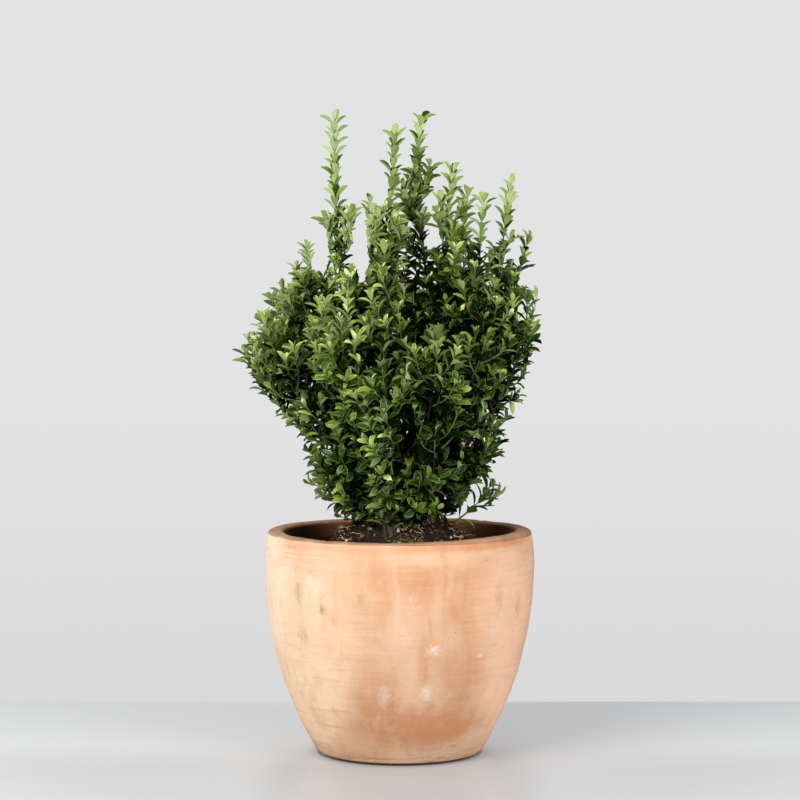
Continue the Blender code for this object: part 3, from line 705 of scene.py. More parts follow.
def barkRelief(points, turn, length):
    # 1 + shallow ridges that run up the limb + a swelling at each old leaf joint
    ridges = np.sin(turn * 7 + 3.0 * ripple(points, 0.02, 21)) + ripple(points, 0.004, 22)
    step = limbs["jointStep"]
    joints = np.exp(-(((length % step - step / 2) / limbs["jointWidth"]) ** 2))
    return 1.0 + limbs["ridges"] * ridges + limbs["joints"] * joints


def makeLimbs(name, paths, radii, rows, sides, finish, nodes):
    # tubes along the limbs, whose radius is multiplied by the bark's relief
    paths = np.stack([evenly(path, rows) for path in paths])
    share = np.linspace(0.0, 1.0, rows)
    radii = np.stack([radius(share) for radius in radii])[:, :, None]
    turn = circle(sides)
    lengths = np.stack([lengthsOf(path) for path in paths])[:, :, None]
    ring = np.stack([np.cos(turn), np.sin(turn), 0 * turn], axis=1) * 0.004
    spots = paths[:, :, None] + ring
    radii = radii * barkRelief(spots, turn, lengths)
    points, faces = tubes(paths, radii, sides)
    piece = makePiece(name, points, faces, [finish])
    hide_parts(*nodes)


def stemRadius(share):
    reach = 0.09
    flare = 1.0 + limbs["flare"] * np.exp(-share * reach / limbs["flareHeight"])
    return between(limbs["stemFoot"], limbs["stemTop"], share) * flare


def boughRadius(start):
    return lambda share: between(start, limbs["boughEnd"], share)


def bark():
    # grey-brown bark with pale ridges and dark cracks along the limb
    skin = Surface("bark", roughness=0.85, specular=0.2)
    ridges = skin.noise(1.0, detail=4.0, roughness=0.7, stretch=(900.0, 900.0, 160.0))
    patches = skin.noise(60.0, detail=3.0)
    colour = skin.blend(ridges.step(0.35, 0.65), (0.055, 0.036, 0.024), (0.20, 0.145, 0.095))
    colour = skin.blend(patches.step(0.45, 0.75) * 0.5, colour, (0.30, 0.25, 0.17))
    return skin.finish(colour, None, ridges, depth=0.0006, strength=0.6)


barkFinish = bark()
stemRadii = [stemRadius] * len(stems)
makeLimbs("bark_stems", stemPaths.values(), stemRadii, 110, 20, barkFinish, stems)
boughStart = [limbs["stemTop"] * 0.96 if spire[1] == 1.0 else limbs["bough"] for spire in spires.values()]
boughRadii = [boughRadius(start) for start in boughStart]
makeLimbs("bark_boughs", boughPaths.values(), boughRadii, 46, 12, barkFinish, boughPaths)
print("limbs made:", len(stems), "stems,", len(boughPaths), "boughs")


# The crown: each mass grows side shoots off its main twig, and those carry shorter ones.
crown = {
    "outline": (  # height, radius and where its middle stands on X
        (0.275, 0.064, -0.002), (0.292, 0.081, -0.009), (0.326, 0.109, -0.010), (0.350, 0.112, -0.004),
        (0.376, 0.124, 0.002), (0.400, 0.132, 0.002), (0.422, 0.147, 0.001), (0.446, 0.163, -0.009),
        (0.480, 0.176, -0.015), (0.515, 0.172, -0.011), (0.540, 0.168, -0.001), (0.620, 0.165, 0.001),
        (0.700, 0.140, 0.000), (0.780, 0.110, 0.000),
    ),
    "spireRoom": ((0.50, 0.10), (0.54, 0.044), (0.58, 0.024), (0.63, 0.017), (0.70, 0.013)),
    "headRoom": 0.014,
    "goldenTurn": math.radians(137.5),
    "sideStep": 0.0120,
    "sideReach": 0.098,
    "sideBand": (0.03, 0.78),
    "fineStep": 0.0145,
    "fineReach": 0.042,
    "rise": 0.75,
    "skirtTop": 0.44,
    "skirtStep": 0.0072,
    "skirtReach": 0.070,
    "skirtRise": 0.15,
    "innerStep": 0.0125,
    "innerReach": 0.052,
    "shrinks": (1.0, 0.78, 0.6, 0.45, 0.33),
    "ownSlack": 0.014,
    "soilRoom": 0.006,
    "highBetween": (0.56, 0.70),  # over these heights of their tips, masses turn slimmer
    "highReach": 0.68,
    "longestShare": 0.55,  # of the main twig's own length
    "fineFrom": 0.05,  # side shoots longer than this carry finer ones
    "topFrom": 0.66,
    "topMiddle": 0.02,
}
skyGaps = np.array([  # where sky shows between the spires: middle on X and Z, half width, half height
    (-0.046, 0.608, 0.008, 0.040), (0.041, 0.632, 0.008, 0.011), (0.038, 0.618, 0.011, 0.009),
    (-0.095, 0.604, 0.008, 0.032), (0.141, 0.604, 0.006, 0.018), (0.158, 0.575, 0.012, 0.012),
    (0.127, 0.592, 0.004, 0.010), (-0.022, 0.675, 0.007, 0.018), (0.093, 0.630, 0.004, 0.018),
    (0.111, 0.621, 0.006, 0.012), (0.146, 0.530, 0.006, 0.012),
])
hollows = np.array([  # where the crown's dark inside shows from the front
    (0.012, 0.396, 0.007, 0.024), (0.036, 0.418, 0.008, 0.017), (0.015, 0.542, 0.009, 0.030),
    (-0.033, 0.482, 0.009, 0.011), (-0.104, 0.432, 0.009, 0.016), (0.095, 0.514, 0.010, 0.012),
    (0.060, 0.378, 0.009, 0.018),
])
hollowFront = -0.080
growthDice = np.random.default_rng(11)
axisPoints = np.concatenate([evenly(path, 50) for path in masses.values()])
axisOwner = np.repeat(np.arange(len(masses)), 50)


def outsideBy(points):
    # how far points stand outside the crown's outline, which is a circle at each height
    heights, radii, middles = np.array(crown["outline"]).T
    fromMiddle = np.hypot(points[..., 0] - np.interp(points[..., 2], heights, middles), points[..., 1])
    return fromMiddle - np.interp(points[..., 2], heights, radii)


def within(points, places, grow=1.0):
    # true where a point, seen from the front, lies in one of the ellipses
    x, z, halfWidth, halfHeight = places.T
    across = (points[..., :1] - x) / (halfWidth * grow)
    upwards = (points[..., 2:] - z) / (halfHeight * grow)
    return (across**2 + upwards**2 < 1.0).any(axis=-1)


def leftOpen(points):
    # true in a gap of sky, and in the front part of a dark hollow
    return within(points, skyGaps) | (within(points, hollows) & (points[..., 1] < hollowFront))


def hasRoom(tip, owner):
    # inside the outline, above the soil and in its own mass's space, which narrows round a spire
    if outsideBy(tip) > -0.004 or tip[2] < soilTop + crown["soilRoom"] or leftOpen(tip):
        return False
    if owner is None:
        return True
    away = np.linalg.norm(axisPoints - tip, axis=1)
    own = axisOwner == owner
    bare = bareTips.get(list(masses)[owner].replace("foliage_", ""), crown["headRoom"])
    highest = max(0.50, axisPoints[own, 2].max() - bare)
    heights, room = np.array(crown["spireRoom"]).T
    if tip[2] > highest or away[own].min() > np.interp(tip[2], heights, room):
        return False
    return away[own].min() < away[~own].min() + crown["ownSlack"]


def sideShoot(parent, length, around, reach, rise):
    # leaves at an angle, then turns up to run beside its parent
    start = pointsAt(parent, length)
    heading = headingsAt(parent, length)
    u, v = squareTo(heading)
    outward = u * math.cos(around) + v * math.sin(around)
    finish = unit(heading + outward * 0.35 + upward * rise)
    end = start + outward * reach * 0.50 + heading * reach * 0.80
    leave = unit(heading * 0.75 + outward)
    return curve(start, start + leave * reach * 0.4, end - finish * reach * 0.35, end, 24)


def growFrom(parent, owner, step, reach, band, order, rise, free=False):
    # side shoots at even steps up a band of the parent, each a golden angle on from the last
    length = lengthsOf(parent)[-1]
    end = min(length * band[1], length - 0.03 if order > 1 else length)
    found = []
    for number, along in enumerate(np.arange(length * band[0], end, step)):
        around = number * crown["goldenTurn"] + growthDice.uniform(0, 1.2)
        share = along / length
        wanted = reach * between(1.0, 0.42, share) * growthDice.uniform(0.8, 1.15)
        for shrink in crown["shrinks"]:
            path = sideShoot(parent, along + growthDice.uniform(0, 0.004), around, wanted * shrink, rise)
            if hasRoom(path[-1], None if free else owner):
                found.append({"path": path, "owner": owner, "order": order})
                break
    return found


def growMass(owner, path):
    # the main twig, its side shoots, and finer shoots off the longer of those
    height = path[-1, 2]
    length = lengthsOf(path)[-1]
    band = crown["sideBand"]
    reach = crown["sideReach"] * between(1.0, crown["highReach"], smoothly(*crown["highBetween"], height))
    grown = [{"path": path, "owner": owner, "order": 0}]
    step, rise = crown["sideStep"], crown["rise"]
    if height < crown["skirtTop"]:
        step, reach, band, rise = crown["skirtStep"], crown["skirtReach"], (0.0, 0.9), crown["skirtRise"]
    sides = growFrom(path, owner, step, min(reach, length * crown["longestShare"]), band, 1, rise)
    for side in sides:
        if lengthsOf(side["path"])[-1] > crown["fineFrom"]:
            grown += growFine(side["path"], owner, (0.25, 0.8), rise)
    return grown + sides


def growFine(parent, owner, band, rise):
    return growFrom(parent, owner, crown["fineStep"], crown["fineReach"], band, 2, rise)


namedShoots = [  # the mass, how far up its main twig the shoot leaves, and its tip
    ("tall_left", 0.52, (-0.088, 0.004, 0.636)),
    ("tall_left", 0.46, (-0.057, 0.006, 0.649)),
    ("tall_left", 0.36, (-0.060, 0.000, 0.560)),
    ("tall_middle", 0.48, (-0.006, 0.002, 0.650)),
    ("tall_middle", 0.42, (0.004, -0.010, 0.624)),
    ("tall_middle", 0.44, (-0.026, -0.006, 0.640)),
    ("summit", 0.66, (0.036, 0.022, 0.702)),
    ("summit", 0.60, (0.006, 0.018, 0.676)),
    ("summit", 0.46, (-0.002, 0.020, 0.632)),
    ("tall_right", 0.58, (0.050, -0.022, 0.660)),
    ("tall_right", 0.50, (0.066, -0.050, 0.600)),
    ("left_low", 0.62, (-0.184, -0.010, 0.478)),
    ("left_outer", 0.66, (-0.160, -0.040, 0.524)),
    ("left_mid", 0.60, (-0.136, 0.016, 0.534)),
    ("left_mid", 0.62, (-0.154, 0.024, 0.546)),
    ("left_spire", 0.60, (-0.112, -0.012, 0.572)),
    ("left_spire", 0.55, (-0.098, -0.016, 0.566)),
    ("right_low", 0.55, (0.134, -0.050, 0.540)),
    ("right_low", 0.70, (0.152, -0.024, 0.545)),
    ("right_low", 0.60, (0.158, -0.052, 0.512)),
    ("right_lean", 0.60, (0.140, 0.024, 0.570)),
    ("left_spire", 0.66, (-0.122, -0.012, 0.580)),
    ("left_spire", 0.70, (-0.106, -0.014, 0.590)),
    ("left_spire", 0.55, (-0.118, 0.006, 0.560)),
    ("right_lean", 0.72, (0.150, 0.026, 0.596)),
    ("back_middle", 0.35, (0.006, 0.030, 0.412)),
    ("back_middle", 0.30, (0.016, 0.026, 0.392)),
    ("back_middle", 0.25, (0.008, 0.022, 0.370)),
    ("back_right", 0.30, (0.024, 0.020, 0.400)),
    ("back_middle", 0.70, (0.018, 0.060, 0.560)),
    ("front_centre", 0.55, (-0.019, -0.112, 0.492)),
    ("front_centre", 0.40, (-0.018, -0.142, 0.416)),
    ("front_left", 0.60, (-0.060, -0.100, 0.537)),
    ("front_left", 0.62, (-0.094, -0.086, 0.540)),
    ("front_right", 0.55, (0.008, -0.118, 0.492)),
    ("front_outer", 0.60, (0.098, -0.104, 0.430)),
    ("middle_left", 0.60, (-0.058, -0.066, 0.568)),
    ("skirt_1", 0.45, (0.116, -0.008, 0.386)),
    ("skirt_9", 0.50, (0.104, -0.052, 0.372)),
    ("skirt_1", 0.60, (0.116, -0.020, 0.368)),
    ("right_low", 0.35, (0.136, -0.030, 0.424)),
    ("left_low", 0.30, (-0.146, -0.012, 0.422)),
    ("left_low", 0.42, (-0.168, -0.016, 0.446)),
    ("left_outer", 0.30, (-0.130, -0.040, 0.404)),
    ("front_left", 0.45, (-0.040, -0.128, 0.440)),
    ("front_centre", 0.25, (-0.036, -0.126, 0.404)),
    ("front_centre", 0.15, (-0.030, -0.122, 0.372)),
    ("skirt_6", 0.40, (-0.048, -0.088, 0.352)),
    ("skirt_7", 0.40, (-0.030, -0.098, 0.332)),
    ("skirt_9", 0.60, (0.110, -0.048, 0.398)),
]
lowTwigs = (  # start, bend and tip of the branched twig that hangs low on one side
    ((0.064, -0.022, 0.276), (0.080, -0.024, 0.288), (0.099, -0.026, 0.306)),
    ((0.094, -0.026, 0.301), (0.100, -0.026, 0.304), (0.118, -0.028, 0.309)),
    ((0.090, -0.025, 0.296), (0.096, -0.026, 0.297), (0.113, -0.030, 0.298)),
    ((0.096, -0.026, 0.303), (0.100, -0.025, 0.311), (0.108, -0.024, 0.320)),
)
trunkFoot = {  # an old stem low at the front: its curve's points, how far each moves, and its shoots
    "points": (
        (-0.008, -0.066, 0.258), (-0.014, -0.062, 0.288), (-0.024, -0.058, 0.315), (-0.042, -0.062, 0.346),
    ),
    "moves": (1.0, 0.5, 0.8, 1.4),
    "shoots": (  # how far the shoot stands aside, and its radius at the foot
        ((0.0, 0.0, 0.0), 0.0046),
        ((0.0062, 0.002, -0.004), 0.0026),
        ((-0.0066, 0.003, -0.002), 0.0030),
    ),
}
footShoots = {"count": 26, "reach": (0.046, 0.070), "height": (0.280, 0.300)}


def namedShoot(parent, share, tip):
    # leaves the main twig at a share of its length and turns upright to its own tip
    tip = np.array(tip)
    length = lengthsOf(parent)[-1]
    start, heading = pointsAt(parent, length * share), headingsAt(parent, length * share)
    towards = unit(tip - start)
    rise = unit(upward + towards * 0.6)
    return limbCurve(start, unit(heading * 0.5 + towards), tip, rise, (0.3, 0.4), 40)


def footShoot(number):
    # from low on the nearest stem, outwards over the soil, with its tip turned up a little
    around = number * crown["goldenTurn"]
    outward = np.array([math.cos(around), math.sin(around), 0.0])
    stem = max(stemPaths.values(), key=lambda path: path[0] @ outward)
    start = pointsAt(stem, 0.008 + 0.003 * (number % 3))
    tip = outward * growthDice.uniform(*footShoots["reach"])
    tip += upward * growthDice.uniform(*footShoots["height"])
    return limbCurve(start, outward, tip, unit(outward + upward * 0.5), (0.4, 0.3), 24)


def ownerOf(mass):
    # the number of a mass of foliage, by its name without the first word
    return list(masses).index("foliage_" + mass)


shoots = []
for owner, path in enumerate(masses.values()):
    shoots += growMass(owner, path)
for name, path in boughPaths.items():  # shaded shoots that fill the crown behind its surface
    owner = ownerOf(name.replace("bough_", ""))
    shoots += growFrom(path, owner, crown["innerStep"], crown["innerReach"], (0.2, 1.0), 2, 0.5, True)
lowOwner = ownerOf("skirt_1")
for path in stemPaths.values():
    step = crown["innerStep"] * 0.5
    shoots += growFrom(path, lowOwner, step, crown["innerReach"], (0.15, 1.0), 2, 0.2, True)
for name, share, tip in namedShoots:
    path = namedShoot(masses["foliage_" + name], share, tip)
    shoots.append({"path": path, "owner": ownerOf(name), "order": 1, "named": 1})
    shoots += growFine(path, ownerOf(name), (0.1, 0.5), crown["rise"])
hanging = {"owner": lowOwner, "order": 2, "named": 3, "open": 1.15, "sparse": 1.8, "foot": 0.0014}
for start, bend, tip in np.array(lowTwigs):
    shoots.append({"path": curve(start, bend, bend, tip, 24), **hanging})
for number in range(footShoots["count"]):  # short ones that spread just above the soil
    shoots.append({"path": footShoot(number), "owner": lowOwner, "order": 2, "open": 1.7})
for shift, foot in trunkFoot["shoots"]:
    path = curve(*(np.array(trunkFoot["points"]) + np.outer(trunkFoot["moves"], shift)), 40)
    shoots.append({"path": path, "owner": ownerOf("skirt_7"), "order": 0, "foot": foot})
print("shoots grown:", len(shoots))


# The soil: a root ball that stands a little proud of the lip, and lower compost round it.
soil = {
    "profile": ((0.004, 0.0092), (0.030, 0.0098), (0.052, 0.0085), (0.066, 0.001), (0.079, -0.009),
                (0.091, -0.024), (0.106, -0.040), (0.1345, -0.046)),
    "columns": 260,
    "topRows": 130,
    "clear": 0.0008,
    "lumps": 0.0021,
}


def soilHeight(radius):
    # the height of the soil's surface at a distance from the middle
    radii, heights = np.array(soil["profile"]).T
    return pot["height"] + np.interp(radius, radii, heights)


# The leaves: opposite pairs up every shoot, each pair a quarter turn from the one below, small
# and upright at the tip, longer and more open lower down.
leaf = {
    "length": 0.0204,
    "spireLength": 0.0220,
    "widthShare": 0.50,
    "spireWidthShare": 0.68,
    "thickness": 0.00040,
    "tipSteps": (0.0008, 0.0040, 0.0088, 0.0148),  # from the shoot's tip to its youngest pairs
    "spireTipSteps": (0.0008, 0.0062, 0.0125),
    "step": 0.0066,
    "spireStep": 0.0064,
    "sizes": (0.62, 0.90, 1.0, 1.0, 1.0),
    "spireSizes": (0.84, 0.96, 1.0, 1.0, 1.0),
    "leans": (15.0, 27.0, 32.0, 36.0, 40.0, 44.0, 48.0),
    "spireLeans": (31.0, 33.0, 28.0, 25.0, 24.0, 24.0, 25.0),
    "evenSize": (0.74, 1.16),
    "slimBetween": (0.585, 0.66),  # the heights over which leaves turn from the crown's to a spire's
    "bend": (0.25, 0.90),
    "spireBend": (0.20, 0.70),
    "fold": (0.50, 0.98),
    "spireFold": (0.65, 1.00),
    "twist": 0.20,
    "leanSpread": 5.0,  # degrees
    "outside": (0.003, 0.016),  # how far tips may pass the outline: a grown shoot's and a named one's
    "limbRoom": 0.0045,
    "soilRoom": {"tip": 0.001, "root": 0.002},
    "overTop": 0.003,
    "rows": (0.12, 0.33, 0.56, 0.78, 0.93),
    "columns": (-1.0, -0.8, 0.0, 0.8, 1.0),  # rim, blade's edge, midrib
}


def byPair(number, name, spireName, slim):
    # the value for each pair of leaves, by its number from the tip, in the crown and on a spire
    values = [np.interp(number, range(len(leaf[key])), leaf[key]) for key in (name, spireName)]
    return between(*values, slim)


def pairsOn(shoot):
    # where the pairs of leaves sit on a shoot, from the tip down, with all that the leaves need
    path = shoot["path"]
    length = lengthsOf(path)[-1]
    bareFoot = 0.006 if shoot["order"] else 0.010
    sparse = shoot.get("sparse", 1.0)
    step = between(leaf["step"], leaf["spireStep"], smoothly(*leaf["slimBetween"], path[-1, 2])) * sparse
    tipSteps = leaf["spireTipSteps" if path[-1, 2] > 0.62 else "tipSteps"]
    lower = np.arange(tipSteps[-1] + step, length - bareFoot, step)
    fromTip = np.concatenate([tipSteps, lower])
    fromTip = fromTip[fromTip < length - bareFoot]
    count = len(fromTip)
    fromTip = fromTip + growthDice.uniform(-0.0008, 0.0008, count)
    number = np.arange(count)
    roots = pointsAt(path, length - fromTip)
    headings = headingsAt(path, np.clip(length - fromTip, 0.002, length - 0.003))
    slim = smoothly(*leaf["slimBetween"], roots[:, 2])  # the spires above the crown are slimmer
    leans = byPair(number, "leans", "spireLeans", slim) * shoot.get("open", 1.0)
    sizes = byPair(number, "sizes", "spireSizes", slim)
    sizes *= between(leaf["length"], leaf["spireLength"], slim) * sparse**0.3
    start = growthDice.uniform(0, 2 * math.pi)
    if slim[:4].mean() > 0.5:  # a spire's second pair opens to its sides
        start = math.radians(108) + growthDice.normal(0, 0.2)
    turns = start + number * math.pi / 2
    pairs = {"root": roots, "heading": headings, "number": number, "slim": slim}
    found = {key: np.repeat(values, 2, axis=0) for key, values in pairs.items()}
    leafCount = 2 * count
    found["spray"] = np.full(leafCount, growthDice.normal())
    found["owner"] = np.full(leafCount, shoot["owner"])
    found["named"] = np.full(leafCount, float(shoot.get("named", 0)))
    lean = np.repeat(leans, 2) + growthDice.normal(0, leaf["leanSpread"], leafCount)
    found["lean"] = np.radians(lean)
    found["size"] = np.repeat(sizes, 2) * growthDice.uniform(*leaf["evenSize"], leafCount)
    found["turn"] = np.repeat(turns, 2) + np.tile([0.0, math.pi], count)
    found["turn"] += growthDice.normal(0, 0.2, leafCount)
    return found


def allLeaves():
    # every leaf's root, direction and upper side, as arrays
    sets = [pairsOn(shoot) for shoot in shoots]
    leaves = {key: np.concatenate([one[key] for one in sets]) for key in sets[0]}
    u, v = squareTo(leaves["heading"])
    outward = u * np.cos(leaves["turn"])[:, None] + v * np.sin(leaves["turn"])[:, None]
    cosLean, sinLean = np.cos(leaves["lean"])[:, None], np.sin(leaves["lean"])[:, None]
    leaves["direction"] = leaves["heading"] * cosLean + outward * sinLean
    leaves["upper"] = leaves["heading"] * sinLean - outward * cosLean
    leaves["tip"] = leaves["root"] + leaves["direction"] * leaves["size"][:, None]
    return leaves


def keptLeaves(leaves):
    # drops leaves outside the crown, in its open gaps, in the soil, over its top or on a limb
    limbPoints = np.concatenate([*stemPaths.values(), *boughPaths.values()])
    near = np.stack([np.linalg.norm(limbPoints - point, axis=1).min() for point in leaves["tip"]])
    keep = outsideBy(leaves["tip"]) < between(*leaf["outside"], leaves["named"])
    keep &= near > leaf["limbRoom"]
    for end, clear in leaf["soilRoom"].items():
        keep &= leaves[end][:, 2] > soilHeight(np.hypot(*leaves[end][:, :2].T)) + clear
    keep &= (leaves["tip"][:, 2] < cadBox[1][2] + leaf["overTop"]) & ~leftOpen(leaves["tip"])
    return {key: values[keep] for key, values in leaves.items()}


def bladeWidth(t):
    # half the blade's width, from 0 to 1: sin(pi t^1.36)^0.80, widest past the middle
    return np.sin(math.pi * np.clip(t, 0.0, 1.0) ** 1.36) ** 0.80


def leafFaces():
    # the faces of one leaf: an upper skin, and a plainer lower skin that shares its rim; the last
    # array of each kind is true where the underside's colour shows, and on the upper skin's rim, where that
    # paler colour is a painted edge highlight
    rows, columns = len(leaf["rows"]), len(leaf["columns"])
    upper = 1 + columns * np.arange(rows)[:, None] + np.arange(columns)
    rib = 1 + columns * rows + np.arange(rows)[:, None]
    lower = np.concatenate([upper[:, :1], rib, upper[:, -1:]], axis=1)
    tip = 1 + rows * columns + rows
    quads, triangles, undersideAndRimHighlightQuads, undersideAndRimHighlightTriangles = [], [], [], []
    for grid, flip in ((upper, False), (lower, True)):
        quad = np.stack([grid[:-1, :-1], grid[:-1, 1:], grid[1:, 1:], grid[1:, :-1]], axis=-1)
        foot = np.stack([0 * grid[0, 1:], grid[0, 1:], grid[0, :-1]], axis=-1)
        end = np.stack([0 * grid[-1, 1:] + tip, grid[-1, :-1], grid[-1, 1:]], axis=-1)
        triangle = np.concatenate([foot, end])
        quads.append(quad.reshape(-1, 4)[:, ::-1] if flip else quad.reshape(-1, 4))
        triangles.append(triangle[:, ::-1] if flip else triangle)
        strips = grid.shape[1] - 1
        rim = np.isin(np.arange(strips), (0, strips - 1)) | flip
        undersideAndRimHighlightQuads.append(np.tile(rim, rows - 1))
        undersideAndRimHighlightTriangles.append(np.tile(rim, 2))
    faces = np.concatenate(quads), np.concatenate(triangles)
    return *faces, tip + 1, np.concatenate(undersideAndRimHighlightQuads), np.concatenate(undersideAndRimHighlightTriangles)


def leafPoints(leaves, bend, fold, twist, width):
    # the midrib bends back along an arc; across it, the halves rise at the fold angle and roll over
    # a little at the margin, and the skins part by the thickness in the middle
    t = np.array([0.0, *leaf["rows"], 1.0])
    direction, upper = leaves["direction"][:, None], leaves["upper"][:, None]
    side = np.cross(direction, upper)
    size = leaves["size"][:, None, None]
    angle = (bend[:, None] * t)[..., None]
    b = bend[:, None, None]
    rib = leaves["root"][:, None] + size * (direction * np.sin(angle) - upper * (1 - np.cos(angle))) / b
    normal = upper * np.cos(angle) + direction * np.sin(angle)
    turned = (twist[:, None] * t)[..., None]
    across = side * np.cos(turned) + normal * np.sin(turned)
    normal = normal * np.cos(turned) - side * np.sin(turned)
    s = np.array(leaf["columns"])
    half = (size[..., 0] * width[:, None] * bladeWidth(t) / 2)[:, :, None, None]
    rise = (np.abs(s) - 0.38 * s**2)[None, None, :, None] * np.sin(fold)[:, None, None, None]
    spread = s[None, None, :, None] * np.cos(fold)[:, None, None, None]
    sheet = rib[:, :, None] + half * (across[:, :, None] * spread + normal[:, :, None] * rise)
    skin = normal[:, :, None] * (leaf["thickness"] / 2 * (1 - s**2))[None, None, :, None]
    count = len(bend)
    top = (sheet + skin)[:, 1:-1].reshape(count, -1, 3)
    under = (sheet - skin)[:, 1:-1, len(s) // 2].reshape(count, -1, 3)
    return np.concatenate([rib[:, :1], top, under, rib[:, -1:]], axis=1)


leafTones = {  # upper side and underside, from the brightest to the darkest: partly the leaves' age, partly painted light and shade; shaded is painted shade deep in the crown
    "bright": ((0.500, 0.600, 0.175), (0.460, 0.560, 0.240)),
    "freshAndLit": ((0.310, 0.415, 0.064), (0.345, 0.440, 0.115)),
    "mid": ((0.140, 0.222, 0.020), (0.215, 0.295, 0.066)),
    "deep": ((0.052, 0.104, 0.006), (0.116, 0.170, 0.028)),
    "dark": ((0.017, 0.042, 0.002), (0.042, 0.070, 0.010)),
    "shaded": ((0.004, 0.011, 0.001), (0.009, 0.017, 0.003)),
    "coolMid": ((0.115, 0.215, 0.058), (0.230, 0.310, 0.125)),
    "coolDeep": ((0.036, 0.100, 0.026), (0.105, 0.170, 0.060)),
    "yellow": ((0.72, 0.52, 0.10), (0.68, 0.52, 0.16)),
    "tan": ((0.42, 0.27, 0.10), (0.42, 0.30, 0.15)),
}
toneNames = list(leafTones)
nextDarker = np.array([1, 2, 3, 4, 5, 5, 7, 4, 8, 9])
upperDarker = (0.75, 0.60)  # how often the upper side is a tone darker, and on a spire a second one
toneSteps = (0.84, 0.62, 0.42, 0.26, 0.13)  # the least freshAndLit value, age and painted light together, for bright, freshAndLit, mid, deep and dark
coolShare = 0.30  # of the middling and deep leaves, more in the lower crown
oddLeaves = (  # turned leaves: tone, and place on X and Z
    ("yellow", 0.075, 0.542),
    ("tan", 0.003, 0.572),
    ("tan", 0.069, 0.518),
    ("yellow", -0.073, 0.292),
)


def openness(leaves):
    # the share of light that reaches each leaf: e^-(the leaves met on the way out of the crown), with
    # the leaves counted in small cells and three ways out that lean apart
    middle = (leaves["root"] + leaves["tip"]) / 2
    corner = middle.min(axis=0) - 0.1
    size = np.ceil((middle.max(axis=0) + 0.1 - corner) / light["cell"]).astype(int)
    cells = np.zeros(size)
    own = ((middle - corner) / light["cell"]).astype(int)
    np.add.at(cells, tuple(own.T), leaves["size"] / leaf["length"])
    for axis in range(3):
        cells = (np.roll(cells, 1, axis) + 2 * cells + np.roll(cells, -1, axis)) / 4
    outward = unit(middle * [1, 1, 0]) + upward * light["rise"]
    side = np.cross(outward, upward)
    met = np.zeros(len(middle))
    for lean in (-light["spread"], 0.0, light["spread"]):
        way = unit(outward + side * lean)
        for far in np.arange(light["near"], light["far"], light["cell"]):
            place = ((middle + way * far - corner) / light["cell"]).astype(int)
            met += cells[tuple(np.clip(place, 0, size - 1).T)] / 3
    return np.exp(-met * light["thickness"])


light = {"cell": 0.006, "near": 0.009, "far": 0.075, "rise": 0.45, "spread": 0.6, "thickness": 0.55}


def toneOf(leaves):
    # young leaves are the brightest; over that the tone paints light and shade: brighter high up, on the
    # lit left side and where light reaches them, darker on the right and in the hollows; each spray has a
    # tone of its own
    dice = np.random.default_rng(23)
    youth = np.exp(-leaves["number"] / between(2.6, 22.0, leaves["slim"]))
    lit = openness(leaves)
    x, y, z = leaves["tip"].T
    high, top = smoothly(0.30, 0.56, z), smoothly(0.52, 0.68, z)
    freshAndLit = 0.46 * youth * between(0.35, 1.0, high) + 0.50 * lit**1.3 * (1 - top) + 0.28 * top * youth
    freshAndLit += between(-0.17, -0.12, high) + 0.22 * top
    freshAndLit += 0.17 * smoothly(0.350, 0.315, z)  # the lowest shoots stand in light again
    # painted light and shade: sunny lights the upper left, bulge a column low at the front, and away shades
    # the right side
    sunny = smoothly(0.03, -0.13, x) * smoothly(0.40, 0.56, z)
    bulge = smoothly(0.040, 0.010, np.abs(x + 0.035)) * smoothly(-0.04, -0.10, y) * smoothly(0.48, 0.44, z)
    away = smoothly(-0.02, 0.06, x) * smoothly(0.56, 0.50, z) * smoothly(0.33, 0.38, z)
    freshAndLit += 0.17 * sunny * lit + 0.14 * sunny + 0.18 * bulge - 0.07 * away
    # painted shade in the crown's dark hollows
    freshAndLit -= 0.30 * within(leaves["tip"], hollows, 1.3)
    freshAndLit += 0.08 * leaves["spray"] + dice.normal(0, 0.17, len(youth)) * (0.7 + 0.3 * high + 0.25 * top)
    tone = (freshAndLit[:, None] < np.array(toneSteps)).sum(axis=1)
    cool = dice.uniform(0, 1, len(youth)) + 0.12 * leaves["spray"] < coolShare * between(1.5, 0.5, high)
    for plain, other in (("mid", "coolMid"), ("deep", "coolDeep")):
        tone[cool & (tone == toneNames.index(plain))] = toneNames.index(other)
    for name, across, height in oddLeaves:
        beside = np.hypot(x - across, z - height)
        nearest = (y + 100 * (beside > 0.006)).argmin()  # the foremost one there
        tone[nearest] = toneNames.index(name)
    return tone


def leafFinish(name, colour, rough):
    # the paler the leaf, the glossier: leaves in the crown's shade keep only a dull sheen
    gloss = min(1.1, 8.0 * colour[1] ** 1.5)
    return Surface(name, colour=colour, roughness=rough, specular=0.5 * gloss).material


def massGroup(name):
    # the piece that a mass's leaves are joined into: by its height, then by its side
    box = np.array(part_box(name))
    middle = box.mean(axis=0)
    if "skirt" in name:
        return "low"
    if box[1][2] > crown["topFrom"]:
        return "top_left" if middle[0] < crown["topMiddle"] else "top_right"
    if abs(middle[0]) > abs(middle[1]):
        return "left" if middle[0] < 0 else "right"
    return "front" if middle[1] < 0 else "back"


